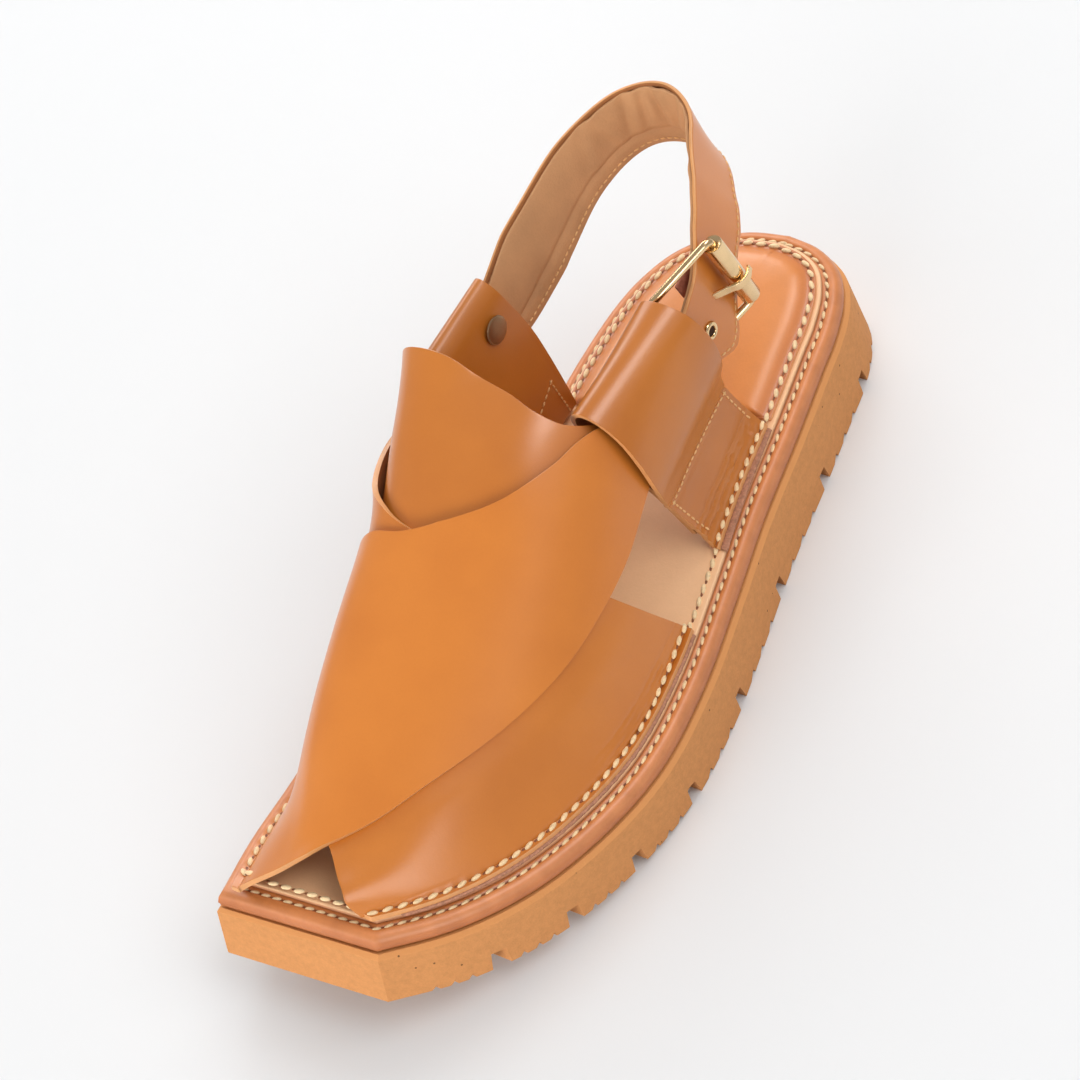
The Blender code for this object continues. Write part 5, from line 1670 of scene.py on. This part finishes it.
def make_heel_strap():
    looks = bpy.context.scene.sandal_leather
    finishes = strap_finishes()
    grid = flared_tail(refine(heel_strap_grid(60, 5), rows=260, columns=40))
    normals = grid_normals(grid, STRAP_SIDE)
    outside = strap_layer(grid, normals, offset=0.80, trim_low=0.0, trim_high=0.0)
    outer = leather_sheet("heel_strap_leather", outside, STRAP_SIDE, HEEL_LEATHER, finishes, rounding=0.6)
    finished(outer, "tan_leather", "heel_strap")
    pale = hide_finish("pale_lining", tuple(looks.lining), shade(looks.lining, 0.72), 0.7, cloud=0.012,
                       fleck=0.10, pores=0.4, wrinkle=1.2, unevenness=1.5, bump=0.5, specular=0.25)
    inside = strap_layer(grid, normals, offset=-0.55, trim_low=0.9, trim_high=1.1)
    relief = LINING_RELIEF * lining_relief(*inside.shape[:2])
    inside = inside - grid_normals(inside, STRAP_SIDE) * relief[..., None]
    lining = leather_sheet("heel_strap_lining", inside, STRAP_SIDE, LINING_PLY, (pale,) * 3, rounding=0.4)
    finished(lining, "lining_leather")
    thread = thread_finish("fine_thread", tuple(bpy.context.scene.sandal_thread.fine_colour))
    rows = (
        # name, layer, its side and thickness, share of its width, first and last share of its length
        ("heel_strap_stitches", outside, STRAP_SIDE, HEEL_LEATHER, 0.08, 0.05, 0.985),
        ("lining_stitches", inside, -STRAP_SIDE, LINING_PLY, 0.10, 0.05, 0.80),
    )
    for name, layer, side, thickness, share, first, last in rows:
        line = layer[int(first * len(grid)):int(last * len(grid)), int(round(share * (grid.shape[1] - 1)))]
        sewn_line(name, layer, side, line[::6], (first, last), thread, thickness)


# ------------------------------------------------------------------ hardware
def strip_grid(path, spread, width, count, columns):
    """Grid of a flat strip along a path, spread either side of it."""
    rows = smooth_path(path, count)
    share = np.linspace(-0.5, 0.5, columns)[None, :, None]
    width = np.interp(np.linspace(0, 1, count), np.linspace(0, 1, len(width)), width)
    return rows[:, None, :] + unit(spread)[None, None, :] * width[:, None, None] * share


def make_buckle():
    looks = bpy.context.scene.sandal_metal
    gold = metal_finish("pale_gold", tuple(looks.gold), GOLD_ROUGHNESS)
    top = np.array(ROLLER_TOP)
    bottom = np.array(ROLLER_BOTTOM)
    down = unit(bottom - top)
    frame_piece = wire_piece("buckle_wire", buckle_frame_line(), WIRE_RADIUS + 0.15, gold)
    finished(frame_piece, "gold_metal", "buckle_frame")
    half = np.linalg.norm(bottom - top) / 2
    end = (
        (WIRE_RADIUS + 0.2, half - 0.5),
        (ROLLER_RADIUS - 0.45, half + 0.05),
        (ROLLER_RADIUS - 0.1, half + 0.02),
        (ROLLER_RADIUS, half - 0.25),
    )
    barrel = end + tuple((radius, -height) for radius, height in reversed(end))
    roller = turned_piece("buckle_barrel", barrel, (top + bottom) / 2, down, gold, steps=56, closed=True)
    finished(roller, "gold_metal", "buckle_roller")
    strip = strip_grid(PRONG, down, PRONG_WIDTHS, 90, 6)
    prong = leather_sheet("buckle_tongue_pin", strip, 1, PRONG_THICKNESS, (gold,) * 3, rounding=0.3)
    finished(prong, "gold_metal", "buckle_prong")
    raw = hide_finish("chape_leather_finish", (0.46, 0.17, 0.11), (0.30, 0.10, 0.06), 0.8, cloud=0.002,
                      fleck=0.4, pores=0.8, wrinkle=1.6, bump=0.8, specular=0.2)
    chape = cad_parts["chape"]
    chape.data.materials.clear()
    chape.data.materials.append(raw)
    rows = smooth_path(TAIL_UNDER_PLY, 24)
    drop = np.linspace(0, 1, 6)[None, :, None]
    grid = rows[:, None, :] + np.array(TAIL_UNDER_PLY_DROP)[None, None, :] * drop
    piece = leather_sheet("strap_under_ply", grid, 1, 0.9, (raw,) * 3, rounding=0.25)
    finished(piece, "chape_leather")


def make_eyelet():
    """Eyelet in the strap's tail, with a rolled brim."""
    gold = metal_finish("pale_gold", tuple(bpy.context.scene.sandal_metal.gold), GOLD_ROUGHNESS)
    grid = heel_strap_grid(34, 4)
    middle = (grid[:, 1] + grid[:, 2]) / 2
    tail = len(middle) // 2 + int(np.argmin(np.abs(middle[len(middle) // 2:, 1] - EYELET_ALONG)))
    outward = unit(np.cross(grid[tail, 2] - grid[tail, 1], middle[tail + 1] - middle[tail - 1]))
    if outward[0] < 0:
        outward = -outward
    half = HEEL_STRAP_THICKNESS / 2
    profile = (
        (EYELET_BORE, half + 0.30),
        (EYELET_BORE + 0.10, half + 0.62),
        (EYELET_BORE + 0.35, half + 0.85),
        (EYELET_BORE + 0.75, half + 0.92),
        (EYELET_RADIUS - 0.30, half + 0.72),
        (EYELET_RADIUS - 0.02, half + 0.40),
        (EYELET_RADIUS, half + 0.12),
        (EYELET_BORE + 0.4, half + 0.05),
        (EYELET_BORE + 0.4, -half),
        (EYELET_BORE, -half),
    )
    centre = middle[tail] + np.array(EYELET_SHIFT)
    piece = turned_piece("strap_eyelet", profile, centre, outward, gold, closed=True)
    finished(piece, "gold_metal", "eyelet")
    # Dark disc in the bore: a painted shadow inside the eyelet's hole.
    raw = bpy.context.scene.sandal_leather.raw
    shadow = hide_finish("eyelet_hole_finish", shade(raw, 0.12), shade(raw, 0.06), 0.9, specular=0.1)
    disc = ((0.0, half + 0.34), (EYELET_BORE + 0.05, half + 0.34), (EYELET_BORE + 0.05, half), (0.0, half))
    finished(turned_piece("eyelet_hole", disc, centre, outward, shadow), "chape_leather")


def make_rivet():
    """Rivet with a slightly domed head."""
    bronze = metal_finish("dark_bronze", tuple(bpy.context.scene.sandal_metal.bronze), 0.42)
    dome = [(RIVET_RADIUS * share, 1.95 - 0.45 * share**3) for share in (0.0, 0.25, 0.5, 0.7, 0.85, 0.94)]
    profile = dome + [
        (RIVET_RADIUS, 1.35),
        (RIVET_RADIUS, 1.05),
        (RIVET_RADIUS - 0.2, 0.9),
        (SHANK_RADIUS, 0.9),
        (SHANK_RADIUS, -RIVET_DEPTH),
        (RIVET_RADIUS, -RIVET_DEPTH),
        (RIVET_RADIUS, -RIVET_DEPTH - 0.5),
        (RIVET_RADIUS - 0.8, -RIVET_DEPTH - 0.9),
        (0.0, -RIVET_DEPTH - 1.0),
    ]
    piece = turned_piece("loop_rivet", profile, RIVET, unit((1.0, 0.0, 0.11)), bronze)
    finished(piece, "bronze_metal", "rivet")


def laid_on(line, normals, names, reach=4.0):
    """Line of drawing points dropped onto the finished pieces below it."""
    corners = []
    faces = []
    for name in names:
        shape = bpy.data.objects[name].evaluated_get(bpy.context.evaluated_depsgraph_get())
        mesh = shape.to_mesh()
        start = len(corners)
        corners += [vertex.co.copy() for vertex in mesh.vertices]
        faces += [tuple(start + i for i in face.vertices) for face in mesh.polygons]
        shape.to_mesh_clear()
    tree = BVHTree.FromPolygons(corners, faces)
    laid = []
    for point, outward in zip(line, normals):
        start = Vector(place(point + outward * reach / 2))
        spot = tree.ray_cast(start, -Vector(outward), reach * MM)[0]
        laid.append(point if spot is None else np.array(spot) / MM + np.array(DRAWN_CENTRE))
    laid = np.array(laid)
    height = ((laid - line) * normals).sum(1)
    side = 4
    padded = np.concatenate([height[-side:], height, height[:side]])
    window = np.ones(2 * side + 1) / (2 * side + 1)
    smooth = np.convolve(padded, window, mode="valid")
    return line + normals * np.maximum(smooth, height)[:, None]


def make_stitching():
    """The sole's two rows of beads, and dark discs between them that paint the shadows in the stitch holes.
    """
    looks = bpy.context.scene.sandal_thread
    thread = thread_finish("waxed_thread", tuple(looks.colour))
    # Dark brown finish for the discs between the stitches: painted shadow in the awl holes.
    hole = thread_finish("awl_hole_shadow", (0.26, 0.085, 0.03))
    rows = (
        ("outer_sole", outer_row(), OUTER_ROW_STITCHES, looks.outer_length, looks.outer_width, 3),
        ("inner_sole", inner_row(), INNER_ROW_STITCHES, looks.inner_length, looks.inner_width, 8),
    )
    under = ("leather_midsole", "leather_insole", "heel_pad_cushion", "top_vamp_strap", "under_vamp_strap",
             "outer_side_loop", "inner_side_loop")
    for name, (line, normals, _), count, length, width, seed in rows:
        line = laid_on(line, normals, under)
        bead = (length, width, width * 0.85)
        row = stitch_row(name + "_stitches", line + normals * ROW_LIFT, normals, count, bead, thread,
                         closed=True, lean=looks.lean, uneven=0.09, seed=seed)
        finished(row, "cream_thread")
        # Dark discs half a stitch along: painted shadows in the holes between the beads.
        line, normals = shifted(line + normals * HOLE_SHADOW_LIFT, normals, 0.5, count)
        shadow_size = (width * 0.95, width * 0.55, 0.0005)
        row = stitch_row(name + "_holes", line, normals, count, shadow_size, hole,
                         closed=True, lean=looks.lean, uneven=0.1, seed=seed + 1)
        finished(row, "chape_leather")


# ------------------------------------------------------------------ stage
def soft_box(name, offset, size, power):
    """Area lamp at an offset from the shoe.

    A sheen lamp shows only as gloss and the others only as light.
    """
    data = bpy.data.lights.new(name, "AREA")
    data.shape = "RECTANGLE"
    data.size = size[0]
    data.size_y = size[1]
    data.energy = power * bpy.context.scene.sandal_stage.lamps
    lamp = bpy.data.objects.new(name, data)
    lamp.location = Vector(LAMP_AIM) + camera_turn() @ Vector(offset)
    lamp.rotation_mode = "QUATERNION"
    lamp.rotation_quaternion = (Vector(LAMP_AIM) - lamp.location).to_track_quat("-Z", "Y")
    lamp.visible_glossy = name.startswith("sheen")
    lamp.visible_diffuse = not lamp.visible_glossy
    bpy.context.scene.collection.objects.link(lamp)


def camera_turn():
    """Turn of the camera: its line of sight, then its roll about that line."""
    heading = math.radians(CAMERA_HEADING)
    fall = math.radians(CAMERA_FALL)
    sight = Vector((math.cos(heading) * math.cos(fall), math.sin(heading) * math.cos(fall), -math.sin(fall)))
    return sight.to_track_quat("-Z", "Y") @ Quaternion((0, 0, 1), math.radians(CAMERA_ROLL))


def make_stage():
    looks = bpy.context.scene.sandal_stage
    scene = bpy.context.scene
    scene.view_settings.view_transform = "Standard"
    camera = bpy.data.cameras.new("camera")
    camera.sensor_width = 36.0
    camera.lens = CAMERA_LENS
    camera.clip_end = 100.0
    holder = bpy.data.objects.new("camera", camera)
    holder.location = Vector(CAMERA_PLACE) * MM
    holder.rotation_mode = "QUATERNION"
    holder.rotation_quaternion = camera_turn()
    scene.collection.objects.link(holder)
    scene.camera = holder
    white, _, shader = new_finish("studio_floor", 0.9, specular=0.1)
    shader.inputs["Base Color"].default_value = (*looks.floor, 1)
    bpy.ops.mesh.primitive_plane_add(size=12, location=(0, 0, 0))
    floor = bpy.context.active_object
    floor.name = "studio_floor"
    floor.data.materials.append(white)
    world = bpy.data.worlds.new("studio")
    world.use_nodes = True
    background = world.node_tree.nodes["Background"]
    background.inputs["Color"].default_value = (1, 1, 1, 1)
    background.inputs["Strength"].default_value = looks.sky
    scene.world = world
    for name, offset, size, power in LAMPS:
        soft_box(name, offset, size, power)


# ------------------------------------------------------------------ operators and panel
class SANDAL_OT_sole(bpy.types.Operator):
    """Build the outsole, midsole, insole and under-plies"""
    bl_idname = "sandal.sole"
    bl_label = "Sole"

    def execute(self, context):
        make_outsole()
        make_midsole()
        make_insole()
        make_raw_edges()
        return {"FINISHED"}


class SANDAL_OT_heel_pad(bpy.types.Operator):
    """Build the polished pad over the heel seat"""
    bl_idname = "sandal.heel_pad"
    bl_label = "Heel pad"

    def execute(self, context):
        make_heel_pad()
        return {"FINISHED"}


class SANDAL_OT_vamp(bpy.types.Operator):
    """Build the crossed vamp straps and the tongue"""
    bl_idname = "sandal.vamp"
    bl_label = "Vamp straps and tongue"

    def execute(self, context):
        make_vamp()
        make_tongue()
        return {"FINISHED"}


class SANDAL_OT_loops(bpy.types.Operator):
    """Build the side loops and their fine stitching"""
    bl_idname = "sandal.loops"
    bl_label = "Side loops"

    def execute(self, context):
        make_loops()
        return {"FINISHED"}


class SANDAL_OT_heel_strap(bpy.types.Operator):
    """Build the padded heel strap and its stitching"""
    bl_idname = "sandal.heel_strap"
    bl_label = "Heel strap"

    def execute(self, context):
        make_heel_strap()
        return {"FINISHED"}


class SANDAL_OT_hardware(bpy.types.Operator):
    """Build the buckle, eyelet and rivet"""
    bl_idname = "sandal.hardware"
    bl_label = "Hardware"

    def execute(self, context):
        make_buckle()
        make_eyelet()
        make_rivet()
        return {"FINISHED"}


class SANDAL_OT_stitching(bpy.types.Operator):
    """Sew the two rows round the sole"""
    bl_idname = "sandal.stitching"
    bl_label = "Sole stitching"

    def execute(self, context):
        make_stitching()
        return {"FINISHED"}


class SANDAL_OT_stage(bpy.types.Operator):
    """Set the floor, the soft light and the camera"""
    bl_idname = "sandal.stage"
    bl_label = "Stage"

    def execute(self, context):
        make_stage()
        return {"FINISHED"}


OPERATORS = (
    SANDAL_OT_sole,
    SANDAL_OT_heel_pad,
    SANDAL_OT_vamp,
    SANDAL_OT_loops,
    SANDAL_OT_heel_strap,
    SANDAL_OT_hardware,
    SANDAL_OT_stitching,
    SANDAL_OT_stage,
)
LOOKS = (
    ("sandal_sole", SoleLooks),
    ("sandal_leather", LeatherLooks),
    ("sandal_thread", ThreadLooks),
    ("sandal_metal", MetalLooks),
    ("sandal_stage", StageLooks),
)


class SANDAL_PT_panel(bpy.types.Panel):
    """Sizes, colours and build steps of the sandal"""
    bl_idname = "SANDAL_PT_panel"
    bl_label = "Sandal"
    bl_space_type = "VIEW_3D"
    bl_region_type = "UI"
    bl_category = "Sandal"

    def draw(self, context):
        for attribute, group in LOOKS:
            settings = getattr(context.scene, attribute)
            box = self.layout.box()
            box.label(text=group.__doc__.rstrip("."))
            for name in group.__annotations__:
                box.prop(settings, name)
        for operator in OPERATORS:
            self.layout.operator(operator.bl_idname)


def register():
    for _, group in LOOKS:
        bpy.utils.register_class(group)
    for attribute, group in LOOKS:
        setattr(bpy.types.Scene, attribute, bpy.props.PointerProperty(type=group))
    for operator in OPERATORS:
        bpy.utils.register_class(operator)
    bpy.utils.register_class(SANDAL_PT_panel)


def unregister():
    bpy.utils.unregister_class(SANDAL_PT_panel)
    for operator in reversed(OPERATORS):
        bpy.utils.unregister_class(operator)
    for attribute, group in reversed(LOOKS):
        delattr(bpy.types.Scene, attribute)
        bpy.utils.unregister_class(group)


def main():
    register()
    bpy.ops.sandal.stage()
    bpy.ops.sandal.sole()
    bpy.ops.sandal.heel_pad()
    bpy.ops.sandal.vamp()
    bpy.ops.sandal.loops()
    bpy.ops.sandal.heel_strap()
    bpy.ops.sandal.hardware()
    bpy.ops.sandal.stitching()


if __name__ == "__main__":
    main()
